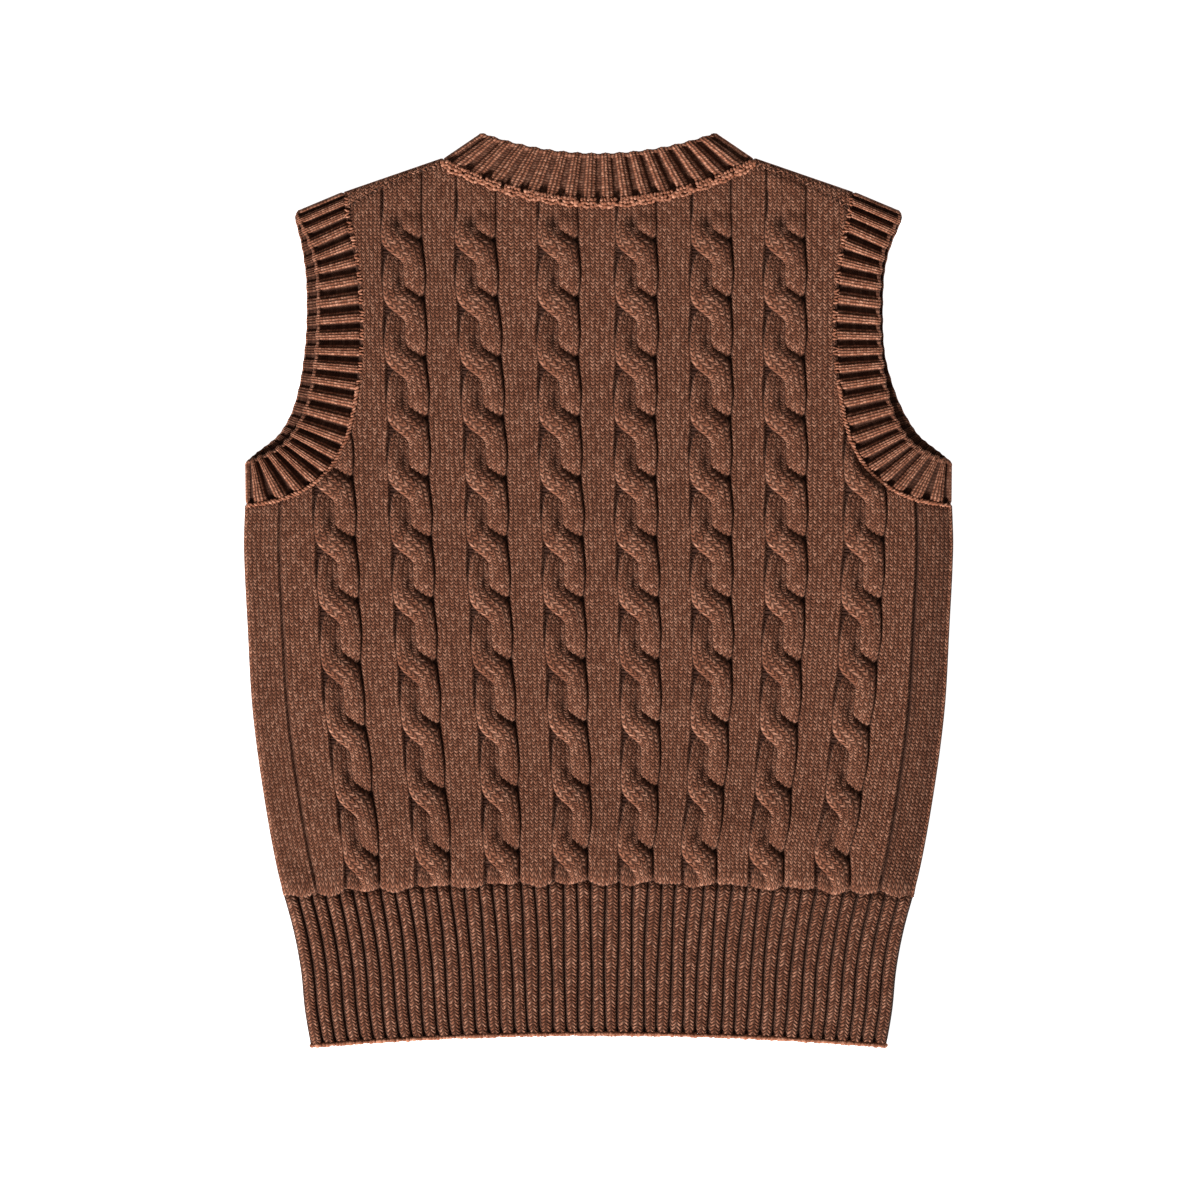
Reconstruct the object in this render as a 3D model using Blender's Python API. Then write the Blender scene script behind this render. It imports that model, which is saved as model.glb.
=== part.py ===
"""Child's cable-knit sweater vest, lying flat with its back upwards.

Frame: +X to the right seen from above, +Y towards the neck, +Z up from the surface that
the vest lies on.  The origin is under the middle of its box.  Sizes are in millimetres
and are turned into metres where the meshes are made.

Pieces: back and front, each with a ribbed hem, one neckband that goes round the neck,
and an armband round each armhole.  The back is on top.  At the shoulders the front rolls
over the fold to a seam on the back, and the three bands go round their folds.
"""
import math
from bisect import bisect_right
from collections import namedtuple

import bpy
from mathutils import Vector
from mathutils.geometry import delaunay_2d_cdt

MILLIMETRE = 0.001
FILL_INSIDE = 1             # triangulate only inside the border
FILL_TOLERANCE = 1e-5

# Layers, from the surface up.
FRONT_WALL = 2.2
LAYER_GAP = 0.3
BACK_WALL = 2.3
SEAM_GAP = 0.36             # between two pieces that are knitted or sewn together
ARMHOLE_GAP = 0.65          # the same round the back's armholes, which are cut by its rows
SIDE_ROUND = 4.5            # how far in from the side fold the back rounds down
SIDE_ROUNDING = (0.0, 0.5, 1.8, SIDE_ROUND)
SIDE_SEAM_Z = FRONT_WALL + LAYER_GAP

# Knitted relief over the back's plain wall.
GROOVE_DEPTH = 0.9          # purl stitch on each side of a cable
GROOVE_REACH = 1.2          # from the groove's bottom to the plain knitting
SIDE_GROOVE_INSET = 16.2    # purl stitch between the side section and the outer cable
SIDE_PLAIN = 14.0           # plain knitting between that groove and the outer cable
CABLE_SLANT = 15.0          # drop of a crossing from the cable's left side to its right
RIB_RIDGE = 0.5
RIB_GROOVE = 0.9

# Ribs that show on the back half of each band.
HEM_RIBS = 45
NECK_RIBS = 16
ARM_RIBS = 21

# The hem's upper and lower edges, which arch up in the middle.
HEM_TOP_MIDDLE = -130.3
HEM_TOP_DROP = 6.3
HEM_FOOT_MIDDLE = -200.3
HEM_FOOT_DROP = 5.4
HEM_TOP_HALF = 142.5
HEM_FOOT_HALF = 129.2

# The back's neck edge and the neckband's free edge are arcs between these.
NECK_HALF = 69.2
NECK_DIP = 174.0
NECK_RISE = 17.5
NECK_TIP_HALF = 50.2
NECK_TIP_DIP = 196.0
NECK_TIP_RISE = 8.4
UNDERARM_BEND = 26.0        # above this the rows of knitting close up under the arms
UNDERARM_CORNER = 74.0      # where the armhole meets the outer cable's inner groove
V_DEPTH = 125.0             # from the neck's shoulder point to the point of the front's V
V_START = 3.0               # the front leaves the neckband's fold this far down the V
BAND_WIDTH = 22.3

# The shoulder: the fold on the outline, and the seam that lies on the back.
Point = namedtuple("Point", "x y")
SHOULDER_NECK = Point(71.2, 190.9)
SHOULDER_ARM = Point(113.2, 171.6)
SHOULDER_BOW = 2.0
SHOULDER_CORNER_GAP = 1.3   # where back, front and armband meet
SHOULDER_END = 0.015        # share of the seam that the front leaves bare at each end
FOLD_NECK = Point(72.0, 193.3)
FOLD_ARM = Point(113.7, 178.3)

# Where the back bags out over the tight hem, and how far it stands off the front.
BAG_HEIGHT = -110.0
BAG_REACH = 18.0
BAG_LIFT = 1.6
BODY_LIFT = 0.6
BODY_LIFT_TOP = 90.0        # from here up the back lies on the front again
BODY_LIFT_FADE = 80.0
LIFT_MARGIN = 32.0

# The ridge's share of each rib, from the groove at its left.
RIDGE_START = 0.28
RIDGE_END = 0.72

# Where the back's lines are read for its upper edges.
NECK_READ = 180.0
UNDERARM_READ = 55.0
ARMHOLE_UPRIGHT_FROM = 60.0     # the armhole seam is upright above this
UNDERARM_UP_TO = 90.0           # and runs under the arm below this

# How finely curves and plain sides are divided.
ARMHOLE_STEPS = 120
FRONT_ARMHOLE_STRIDE = 5        # the front takes every fifth of those steps
SHOULDER_STEPS = 6
V_STEPS = 6
HEM_EDGE_STEPS = 8
SIDE_STEPS = 10
HEM_RIB_STEPS = 12
BAND_FRONT_STEPS = 16
BAND_V_STEPS = 5
BACK_INSIDE_STEP = 24.0
FRONT_INSIDE_STEP = 48.0
INSIDE_MARGIN = 12.0            # the spots of a plain side stay this far off its border
ARMHOLE_NARROWEST = 107.0       # half width of the body between its armholes
SHOULDER_HEIGHT = 200.0

# Half width of the body and hem, from the hem's foot up to the underarm.
Side = namedtuple("Side", "y half")
SIDES = (
    Side(-206, 129.2),
    Side(-189, 132.1),
    Side(-171, 133.9),
    Side(-153, 137.3),
    Side(-126, 144.5),
    Side(-90, 151.0),
    Side(-54, 155.7),
    Side(-18, 157.8),
    Side(18, 159.5),
    Side(38, 159.0),
)

# Centre lines of the eight cables, and the width from groove to groove.
Cables = namedtuple("Cables", "y c1 c2 c3 c4 c5 c6 c7 c8 width")
CABLES = (
    Cables(-117, -106.4, -74.0, -43.2, -12.6, 16.7, 45.7, 75.4, 105.1, 15.3),
    Cables(-95, -108.9, -76.3, -43.9, -11.9, 18.9, 47.9, 78.3, 109.8, 15.8),
    Cables(-41, -114.8, -81.0, -46.8, -14.0, 18.9, 50.9, 82.4, 116.1, 17.0),
    Cables(13, -117.5, -83.3, -49.3, -15.8, 17.6, 51.1, 84.4, 119.0, 17.7),
    Cables(72, -119.7, -85.5, -51.3, -17.1, 16.9, 50.4, 83.9, 120.2, 17.8),
    Cables(157, -119.7, -88.0, -55.1, -18.2, 17.1, 51.1, 84.2, 119.9, 18.0),
)

# Heights at which the cables cross, from the shoulders down to the hem.
CROSSINGS = (157.0, 131.0, 104.0, 77.0, 50.0, 23.0, -4.3, -32.0, -60.0, -89.0, -117.0)

# Height of a cable over the plain wall, at four places across it, from one crossing
# (share 0) down to the next (share 1).  The strand from the left passes over.
Twist = namedtuple("Twist", "share left mid_left mid_right right")
TWIST = (
    Twist(0.00, 1.0, 0.5, -0.2, -0.4),
    Twist(0.12, 1.7, 2.2, 1.9, 1.1),
    Twist(0.32, 0.5, 1.7, 2.5, 2.1),
    Twist(0.55, 0.0, 0.4, 2.1, 2.1),
    Twist(0.86, 0.7, 0.8, 1.2, 1.4),
    Twist(1.00, 1.0, 0.5, -0.2, -0.4),
)
TWIST_PLACES = (0.18, 0.39, 0.61, 0.82)
UNCROSSED = Twist(0, 0.5, 0.9, 0.9, 0.5)

# An armband's base on the armhole and its free tip, rib by rib from shoulder to
# underarm, with how far the front half shows beyond the back's tip on either side.
Arm = namedtuple("Arm", "share base_x base_y tip_x tip_y left_peek right_peek")
ARMBAND = (
    Arm(0.00, 113.8, 177.0, 136.2, 167.6, 0.5, 0.5),
    Arm(0.05, 113.8, 171.6, 134.0, 163.0, 1.6, 1.0),
    Arm(0.10, 112.9, 165.8, 131.2, 157.6, 3.0, 1.4),
    Arm(0.15, 111.2, 158.5, 128.8, 151.0, 4.2, 1.5),
    Arm(0.24, 108.6, 143.8, 127.0, 140.0, 4.6, 1.4),
    Arm(0.36, 107.0, 122.5, 126.7, 120.8, 4.6, 1.2),
    Arm(0.47, 107.4, 104.5, 127.6, 105.4, 4.8, 1.3),
    Arm(0.57, 109.0, 88.5, 129.6, 92.0, 4.8, 2.6),
    Arm(0.64, 111.2, 76.5, 132.2, 81.8, 4.8, 3.8),
    Arm(0.70, 114.4, 66.0, 135.6, 74.0, 4.6, 4.4),
    Arm(0.78, 121.0, 54.8, 140.4, 67.2, 4.2, 4.2),
    Arm(0.86, 130.6, 46.4, 146.4, 62.8, 3.4, 3.4),
    Arm(0.93, 142.4, 41.0, 152.6, 59.9, 2.0, 2.0),
    Arm(1.00, 156.6, 38.2, 156.8, 58.6, 0.4, 0.4),
)

YARN_COLOUR = (0.155, 0.062, 0.038, 1.0)
YARN_ROUGHNESS = 0.9


# ---------------------------------------------------------------- reading the tables

def smooth(keys, values, key):
    """Read a column of a table on a smooth curve through its rows."""
    if key <= keys[0]:
        return values[0]
    if key >= keys[-1]:
        return values[-1]
    low = bisect_right(keys, key) - 1
    last = len(keys) - 1

    def slope(row):
        before, after = max(row - 1, 0), min(row + 1, last)
        return (values[after] - values[before]) / (keys[after] - keys[before])

    step = keys[low + 1] - keys[low]
    t = (key - keys[low]) / step
    start = values[low] * (1 + 2 * t) + slope(low) * step * t
    end = values[low + 1] * (3 - 2 * t) + slope(low + 1) * step * (t - 1)
    return start * (1 - t) ** 2 + end * t * t


def column(table, name):
    """One named column of a table, with its keys."""
    return [row[0] for row in table], [getattr(row, name) for row in table]


SIDE_COLUMN = column(SIDES, "half")
CABLE_COLUMNS = [column(CABLES, f"c{number}") for number in range(1, 9)]
CABLE_WIDTH = column(CABLES, "width")
ARM_COLUMNS = {name: column(ARMBAND, name) for name in Arm._fields[1:]}


def half_width(y):
    return smooth(*SIDE_COLUMN, y)


def cable_width(y):
    return smooth(*CABLE_WIDTH, y)


def arm(name, share):
    return smooth(*ARM_COLUMNS[name], share)


def hem_top(x):
    return HEM_TOP_MIDDLE - HEM_TOP_DROP * (x / HEM_TOP_HALF) ** 2


def hem_foot(x):
    return HEM_FOOT_MIDDLE - HEM_FOOT_DROP * (x / HEM_FOOT_HALF) ** 2


def ease(share):
    """From 0 to 1 with soft ends."""
    share = min(max(share, 0.0), 1.0)
    return share * share * (3 - 2 * share)


def lift(x, y):
    """How far the back stands off the front over its middle and above the hem."""
    margin = ease((half_width(y) - abs(x)) / LIFT_MARGIN)
    bag = BAG_LIFT * math.exp(-((y - BAG_HEIGHT) / BAG_REACH) ** 2)
    above_hem = ease((y - hem_top(x)) / LIFT_MARGIN)
    below_arms = ease((BODY_LIFT_TOP - y) / BODY_LIFT_FADE)
    return margin * (bag + BODY_LIFT * above_hem * below_arms)


def back_inside(x, y):
    """Height of the back's plain inner side."""
    return FRONT_WALL + LAYER_GAP + lift(x, y)


def shoulder_seam(share, offset):
    """Point of the shoulder seam, from the neck (0) to the armhole (1)."""
    run_x = SHOULDER_ARM.x - SHOULDER_NECK.x
    run_y = SHOULDER_ARM.y - SHOULDER_NECK.y
    length = math.hypot(run_x, run_y)
    out = SHOULDER_BOW * 4 * share * (1 - share) + offset
    return Point(SHOULDER_NECK.x + run_x * share - out * run_y / length,
                 SHOULDER_NECK.y + run_y * share + out * run_x / length)


# ---------------------------------------------------------------- making the meshes

def add_object(name, points, faces):
    """One named closed solid from points in millimetres."""
    mesh = bpy.data.meshes.new(name)
    mesh.from_pydata([Vector(point) * MILLIMETRE for point in points], [], faces)
    mesh.validate()
    mesh.shade_smooth()
    mesh.materials.append(yarn_material(name))
    piece = bpy.data.objects.new(name, mesh)
    bpy.context.scene.collection.objects.link(piece)
    return piece


def yarn_material(name):
    """Matt heathered brown cotton yarn."""
    material = bpy.data.materials.new(f"{name}_yarn")
    material.use_nodes = True
    shader = material.node_tree.nodes["Principled BSDF"]
    shader.inputs["Base Color"].default_value = YARN_COLOUR
    shader.inputs["Roughness"].default_value = YARN_ROUGHNESS
    material.diffuse_color = YARN_COLOUR
    return material


def fill(points, loop, inside, height, faces, upwards):
    """Close a loop of points with triangles, through a few more points inside it."""
    flat = [Vector(points[index][:2]) for index in loop]
    spare = [Vector(spot) for spot in inside]
    border = list(range(len(flat)))
    filled = delaunay_2d_cdt(flat + spare, [], [border], FILL_INSIDE, FILL_TOLERANCE)
    places, triangles, origins = filled[0], filled[2], filled[3]
    names = []
    for place, origin in zip(places, origins):
        if origin and origin[0] < len(loop):
            names.append(loop[origin[0]])
        else:
            names.append(len(points))
            points.append((place.x, place.y, height(place.x, place.y)))
    for triangle in triangles:
        corners = [names[corner] for corner in triangle]
        faces.append(corners if upwards else corners[::-1])


def border_loop(faces):
    """The open border of some faces, as one loop that runs with them."""
    following = {}
    for face in faces:
        for start, end in zip(face, face[1:] + face[:1]):
            following[start, end] = True
    ahead = {start: end for start, end in following if (end, start) not in following}
    first = next(iter(ahead))
    loop = [first]
    while ahead[loop[-1]] != first:
        loop.append(ahead[loop[-1]])
    return loop


def wall_from_surface(name, points, faces, inner_height, inside):
    """A wall from its outer surface: a plain inner side and a border round both."""
    outer = border_loop(faces)
    inner = []
    for index in outer:
        x, y, _ = points[index]
        inner.append(len(points))
        points.append((x, y, inner_height(x, y)))
    count = len(outer)
    for spot in range(count):
        after = (spot + 1) % count
        faces.append([outer[after], outer[spot], inner[spot], inner[after]])
    fill(points, inner, inside, inner_height, faces, upwards=False)
    return add_object(name, points, faces)


def lattice(step, keep):
    """Evenly spaced spots that pass a test, for the plain inner sides."""
    spots = []
    reach = int(SHOULDER_HEIGHT / step)
    for row in range(-reach, reach + 1):
        for place in range(-reach, reach + 1):
            x, y = place * step, row * step
            if keep(x, y):
                spots.append((x, y))
    return spots


def stacked_rings(name, rings, inside):
    """A flat piece from rings of the same count, from its underside to its top."""
    points, faces = [], []
    loops = []
    for ring in rings:
        loops.append(list(range(len(points), len(points) + len(ring))))
        points.extend(ring)
    for lower, upper in zip(loops, loops[1:]):
        for spot in range(len(lower)):
            after = (spot + 1) % len(lower)
            faces.append([lower[spot], lower[after], upper[after], upper[spot]])
    fill(points, loops[0], inside, lambda x, y: 0.0, faces, upwards=False)
    fill(points, loops[-1], inside, lambda x, y: FRONT_WALL, faces, upwards=True)
    return add_object(name, points, faces)


def inward(outline, spot, distance):
    """A point of a closed counter-clockwise outline, moved into it."""
    before = outline[spot - 1]
    after = outline[(spot + 1) % len(outline)]
    run_x, run_y = after[0] - before[0], after[1] - before[1]
    length = math.hypot(run_x, run_y)
    here = outline[spot]
    return here[0] - distance * run_y / length, here[1] + distance * run_x / length


# ---------------------------------------------------------------- the back

Line = namedtuple("Line", "x_at slide height_at round")
ArmholeLine = namedtuple("ArmholeLine", "side shift")


def plain(x, y):
    return 0.0


def groove(x, y):
    return -GROOVE_DEPTH


def twist_height(place, slide):
    """Height of a cable at one place across it, by height up the garment."""
    names = Twist._fields[1:]
    shares, heights = column(TWIST, names[place])

    def height(x, y):
        level = y - slide
        if level >= CROSSINGS[0]:
            return UNCROSSED[place + 1]
        above = max(index for index, crossing in enumerate(CROSSINGS) if crossing > level)
        below = min(above + 1, len(CROSSINGS) - 1)
        pitch = CROSSINGS[above] - CROSSINGS[below] or CROSSINGS[above - 1] - CROSSINGS[above]
        return smooth(shares, heights, (CROSSINGS[above] - level) / pitch)

    return height


def cable_lines(number):
    """The lines of knitting over one cable, from the groove at its left to its right."""
    def at_share(share, shift):
        def x_at(y):
            middle = smooth(*CABLE_COLUMNS[number - 1], y)
            return middle + (share - 0.5) * cable_width(y) + shift
        return x_at

    lines = [Line(at_share(0.0, -GROOVE_REACH), CABLE_SLANT / 2, plain, None),
             Line(at_share(0.0, 0.0), CABLE_SLANT / 2, groove, None)]
    for index, place in enumerate(TWIST_PLACES):
        slide = -CABLE_SLANT * (place - 0.5)
        lines.append(Line(at_share(place, 0.0), slide, twist_height(index, slide), None))
    lines.append(Line(at_share(1.0, 0.0), -CABLE_SLANT / 2, groove, None))
    lines.append(Line(at_share(1.0, GROOVE_REACH), -CABLE_SLANT / 2, plain, None))
    return lines


def side_lines(side):
    """The lines of the side section, from the fold in to its groove."""
    def inset(distance):
        return lambda y: side * (half_width(y) - distance)

    lines = [Line(inset(distance), 0.0, plain, distance) for distance in SIDE_ROUNDING]
    lines.append(Line(inset(SIDE_GROOVE_INSET - GROOVE_REACH), 0.0, plain, None))
    lines.append(Line(inset(SIDE_GROOVE_INSET), 0.0, groove, None))
    lines.append(Line(inset(SIDE_GROOVE_INSET + GROOVE_REACH), 0.0, plain, None))
    half_slide = -side * CABLE_SLANT / 4
    lines.append(Line(inset(SIDE_GROOVE_INSET + SIDE_PLAIN / 2), half_slide, plain, None))
    return lines


def armhole_curve(side):
    """Points of the armhole seam on the back, from the shoulder to the side."""
    curve = []
    for step in range(ARMHOLE_STEPS + 1):
        share = step / ARMHOLE_STEPS
        curve.append((side * arm("base_x", share), arm("base_y", share)))
    return curve


def armhole_x(side, y):
    """The armhole seam's place across, on its upright stretch."""
    curve = [spot for spot in armhole_curve(1) if spot[1] >= ARMHOLE_UPRIGHT_FROM][::-1]
    x = smooth([spot[1] for spot in curve], [spot[0] for spot in curve], y)
    return side * (x - ARMHOLE_GAP)


def armhole_y(x):
    """The armhole seam's height, on its stretch under the arm."""
    curve = [spot for spot in armhole_curve(1) if spot[1] <= UNDERARM_UP_TO]
    y = smooth([spot[0] for spot in curve], [spot[1] for spot in curve], abs(x))
    run = smooth([spot[0] for spot in curve], [spot[1] for spot in curve], abs(x) + 1) - y
    return y - ARMHOLE_GAP * math.hypot(1, run)


def back_top(x):
    """The back's upper edge: the neck seam in the middle, the shoulder seams beside it."""
    reach = abs(x)
    if reach <= NECK_HALF:
        return NECK_DIP + NECK_RISE * (reach / NECK_HALF) ** 2 - SEAM_GAP
    share = (reach - SHOULDER_NECK.x) / (SHOULDER_ARM.x - SHOULDER_NECK.x)
    for _ in range(3):
        found = shoulder_seam(min(max(share, 0.0), 1.0), -SEAM_GAP / 2)
        share += (reach - found.x) / (SHOULDER_ARM.x - SHOULDER_NECK.x)
    return shoulder_seam(min(max(share, 0.0), 1.0), -SEAM_GAP / 2).y


# A row of the back: its height, and how much of the cables' slant it takes.  The rows
# level out towards the hem and above the first crossing.
BackRow = namedtuple("BackRow", "y slip")
LOWEST_ROWS = (BackRow(-125.4, 0.45), BackRow(-120.6, 0.85), BackRow(CROSSINGS[-1], 1.0))
TOP_ROW = BackRow(CROSSINGS[0] + 3.8, 0.8)


def back_rows():
    """The rows of the back between its edges: one for each share of every twist."""
    rows = list(LOWEST_ROWS)
    for upper, lower in zip(CROSSINGS[-2::-1], CROSSINGS[:0:-1]):
        for twist in TWIST[-2::-1]:
            rows.append(BackRow(upper - twist.share * (upper - lower), 1.0))
    rows.append(TOP_ROW)
    return rows


def back_panel():
    """The back: eight cables between plain columns, ending in the armhole curves."""
    # The armholes end at the inner grooves of the outer cables, so those cables belong
    # to the sides, apart from the groove and the line beside it.
    beside_cable = 2
    first_cable, *inner_cables, last_cable = [
        cable_lines(number) for number in range(1, len(CABLE_COLUMNS) + 1)]
    inner_lines = sum(inner_cables, first_cable[-beside_cable:]) + last_cable[:beside_cable]
    left_lines = side_lines(-1) + first_cable[:-beside_cable]
    right_lines = last_cable[beside_cable:] + side_lines(1)[::-1]
    lines = left_lines + inner_lines + right_lines
    first_inner = len(left_lines)
    last_inner = first_inner + len(inner_lines) - 1

    beside_armhole = {
        first_inner: ArmholeLine(-1, 0.0),
        first_inner + 1: ArmholeLine(-1, GROOVE_REACH),
        last_inner - 1: ArmholeLine(1, -GROOVE_REACH),
        last_inner: ArmholeLine(1, 0.0),
    }

    neck_lines = [
        min(range(len(lines)), key=lambda place: abs(lines[place].x_at(NECK_READ) - corner))
        for corner in (-SHOULDER_NECK.x, SHOULDER_NECK.x)
    ]

    rows = back_rows()
    underarm_start = next(i for i, row in enumerate(rows) if row[0] > UNDERARM_BEND)
    corner_rows = [
        next(i for i, row in enumerate(rows) if row[0] + shared.slide > UNDERARM_CORNER)
        for shared in (inner_lines[0], inner_lines[-1])
    ]

    def add(line, x, y):
        inside = back_inside(x, y)
        z = inside + BACK_WALL + line.height_at(x, y)
        if line.round is not None:
            turn = math.sqrt(1 - (1 - line.round / SIDE_ROUND) ** 2)
            z = SIDE_SEAM_Z + LAYER_GAP + (z - SIDE_SEAM_Z - LAYER_GAP) * turn
        points.append((x, y, z))
        return len(points) - 1

    points, grid = [], {}
    for place, line in enumerate(lines):
        outer_block = place < first_inner or place > last_inner
        corner_row = corner_rows[place > len(lines) / 2]
        x = line.x_at(HEM_TOP_MIDDLE)
        grid[0, place] = add(line, x, hem_top(x) + SEAM_GAP / 2)
        for index, (level, slip) in enumerate(rows):
            y = level + line.slide * slip
            if outer_block and index > corner_row:
                break
            if outer_block and index > underarm_start:
                start = rows[underarm_start][0] + line.slide
                share = (level - rows[underarm_start][0]) / (
                    rows[corner_row][0] - rows[underarm_start][0])
                y = start + share * (armhole_y(line.x_at(UNDERARM_READ)) - start)
            x = line.x_at(y)
            if place in beside_armhole and index >= corner_row:
                x = armhole_x(beside_armhole[place].side, y) + beside_armhole[place].shift
            grid[index + 1, place] = add(line, x, y)
        if outer_block:
            continue
        start = rows[-1][0] + line.slide * rows[-1][1]
        for step in (1, 2):
            x = line.x_at(NECK_READ)
            if place in beside_armhole:
                corner = SHOULDER_ARM.x - SHOULDER_CORNER_GAP
                x = math.copysign(corner, x) + beside_armhole[place].shift
            if place in neck_lines and step == 2:
                x = math.copysign(SHOULDER_NECK.x, x)
            y = start + (back_top(x) - start) * step / 2
            if place in beside_armhole and step == 1:
                x = armhole_x(beside_armhole[place].side, y) + beside_armhole[place].shift
            grid[len(rows) + step, place] = add(line, x, y)

    faces = []
    for row, place in grid:
        corners = ((row, place), (row, place + 1), (row + 1, place + 1), (row + 1, place))
        if all(corner in grid for corner in corners):
            faces.append([grid[corner] for corner in corners])

    def keep(x, y):
        between = hem_top(x) + INSIDE_MARGIN < y < back_top(x) - INSIDE_MARGIN
        narrow = abs(x) < ARMHOLE_NARROWEST - INSIDE_MARGIN
        below_arms = y < UNDERARM_BEND and abs(x) < half_width(y) - INSIDE_MARGIN
        return between and (narrow or below_arms)

    inside = lattice(BACK_INSIDE_STEP, keep)
    return wall_from_surface("back_panel", points, faces, back_inside, inside)


# ---------------------------------------------------------------- the front

# A point of the front's outline.  The shoulders' points are raised and run to the seam,
# which is their goal, and so does a low point beside each end of a shoulder.
Border = namedtuple("Border", "x y goal raised")
ARM_CORNER = Border(113.45, 171.0, Point(112.85, 171.85), False)
NECK_CORNER = Border(71.0, 191.3, Point(71.15, 190.95), False)


def armhole_border():
    """The front's outline round its right armhole, from under the arm to the shoulder."""
    border = []
    curve = armhole_curve(1)[::-1]
    for index in range(FRONT_ARMHOLE_STRIDE, len(curve), FRONT_ARMHOLE_STRIDE):
        x, y = curve[index]
        before, after = curve[index - 1], curve[min(index + 1, len(curve) - 1)]
        run_x, run_y = after[0] - before[0], after[1] - before[1]
        length = math.hypot(run_x, run_y)
        x, y = x - SEAM_GAP * abs(run_y) / length, y - SEAM_GAP * abs(run_x) / length
        if y < SHOULDER_ARM.y - 2 * SHOULDER_CORNER_GAP:
            border.append(Border(x, y, None, False))
    return border + [ARM_CORNER]


def shoulder_border():
    """The fold of the right shoulder, from the armhole to the neck."""
    border = []
    for step in range(SHOULDER_STEPS, -1, -1):
        share = step / SHOULDER_STEPS
        along_seam = min(max(share, SHOULDER_END), 1 - SHOULDER_END)
        goal = shoulder_seam(along_seam, SEAM_GAP / 2)
        border.append(Border(FOLD_NECK.x + (FOLD_ARM.x - FOLD_NECK.x) * share,
                             FOLD_NECK.y + (FOLD_ARM.y - FOLD_NECK.y) * share, goal, True))
    return border + [NECK_CORNER]


def v_border():
    """The right edge of the V, from the neck towards its point."""
    v_length = math.hypot(NECK_HALF, V_DEPTH)
    along, away = V_START / v_length, SEAM_GAP / v_length
    start = Point(NECK_HALF + away * V_DEPTH - along * NECK_HALF,
                  NECK_DIP + NECK_RISE - away * NECK_HALF - along * V_DEPTH)
    foot = v_point() - SEAM_GAP * v_length / NECK_HALF
    border = []
    for step in range(V_STEPS):
        share = step / V_STEPS
        y = start.y + (foot - start.y) * share
        border.append(Border(start.x * (1 - share), y, None, False))
    return border, Border(0.0, foot, None, False)


def front_outline():
    """The front's outline, counter-clockwise from the middle of its lower edge."""
    right = []
    half = half_width(HEM_TOP_MIDDLE - HEM_TOP_DROP)
    for step in range(HEM_EDGE_STEPS + 1):
        x = half * step / HEM_EDGE_STEPS
        right.append(Border(x, hem_top(x) + SEAM_GAP / 2, None, False))
    low = hem_top(half)
    high = arm("base_y", 1.0) - SEAM_GAP
    for step in range(1, SIDE_STEPS + 1):
        y = low + (high - low) * step / SIDE_STEPS
        right.append(Border(half_width(y), y, None, False))
    v_side, v_foot = v_border()
    right += armhole_border() + shoulder_border() + v_side
    left = []
    for spot in right[1:][::-1]:
        goal = spot.goal and Point(-spot.goal.x, spot.goal.y)
        left.append(Border(-spot.x, spot.y, goal, spot.raised))
    return right + [v_foot] + left


def v_point():
    return NECK_DIP + NECK_RISE - V_DEPTH


# Rounding of the front's border: distance in from the outline on the sides, share of
# the way from the fold to the seam on the shoulders, and the heights of both.
Edge = namedtuple("Edge", "inset height shoulder_share shoulder_height")
FRONT_EDGE = (
    Edge(2.2, 0.0, 0.75, 0.0),
    Edge(0.6, 0.7, 0.18, 0.8),
    Edge(0.0, FRONT_WALL - 0.1, 0.0, 2.3),
    Edge(0.3, FRONT_WALL, 0.18, 3.9),
    Edge(0.8, FRONT_WALL, 0.60, 4.7),
    Edge(1.2, FRONT_WALL, 1.0, 4.7),
    Edge(1.6, FRONT_WALL, 1.0, FRONT_WALL),
)
GOAL_STEP = 0.1             # the last ring of a shoulder stands this far inside its seam
ON_SIDE = 0.01              # a point this near the side's curve belongs to the side
SEAM_INSET = 0.3            # the underside's edge along a seam, and how much further out
SEAM_INSET_STEP = 0.15      # each ring above it is


def front_panel():
    """The front: plain and flat underneath, with strips that roll over the shoulders."""
    outline = front_outline()
    rings = []
    for level, edge in enumerate(FRONT_EDGE):
        ring = []
        for spot, border in enumerate(outline):
            x, y, goal, raised = border
            height = edge.shoulder_height if raised else edge.height
            if goal is None:
                on_side = abs(x) > half_width(y) - ON_SIDE
                inset = SEAM_INSET - SEAM_INSET_STEP * level
                if on_side or inset < 0:
                    inset = edge.inset
                ring.append((*inward(outline, spot, inset), height))
                continue
            share = edge.shoulder_share
            drop = GOAL_STEP if level == len(FRONT_EDGE) - 1 else 0.0
            ring.append((x + (goal.x - x) * share, y + (goal.y - y) * share - drop, height))
        rings.append(ring)

    def keep(x, y):
        under_arm = y < UNDERARM_BEND and abs(x) < half_width(y) - INSIDE_MARGIN
        beside_v = y < SHOULDER_ARM.y - INSIDE_MARGIN and abs(x) < ARMHOLE_NARROWEST - INSIDE_MARGIN
        v_side = (abs(x) / NECK_HALF) * V_DEPTH + v_point()
        below_v = y < v_side - 2 * INSIDE_MARGIN
        return y > hem_top(x) + INSIDE_MARGIN and (under_arm or beside_v) and below_v

    inside = lattice(FRONT_INSIDE_STEP, keep)
    return stacked_rings("front_panel", rings, inside)


# ---------------------------------------------------------------- the hem

# Rows of the back hem from its upper edge down: share of its height, how far its ribs
# stand there compared with their full relief, and how much lower it all is.
HemRow = namedtuple("HemRow", "share relief drop")
HEM_ROWS = (
    HemRow(0.0, 0.5, 0.4),
    HemRow(0.07, 1.0, 0.0),
    HemRow(0.5, 1.0, 0.0),
    HemRow(0.985, 1.0, 0.0),
    HemRow(1.0, 0.4, 0.9),
)
HEM_TAPER = 0.1             # the front's hem narrows this much for each millimetre up


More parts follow.
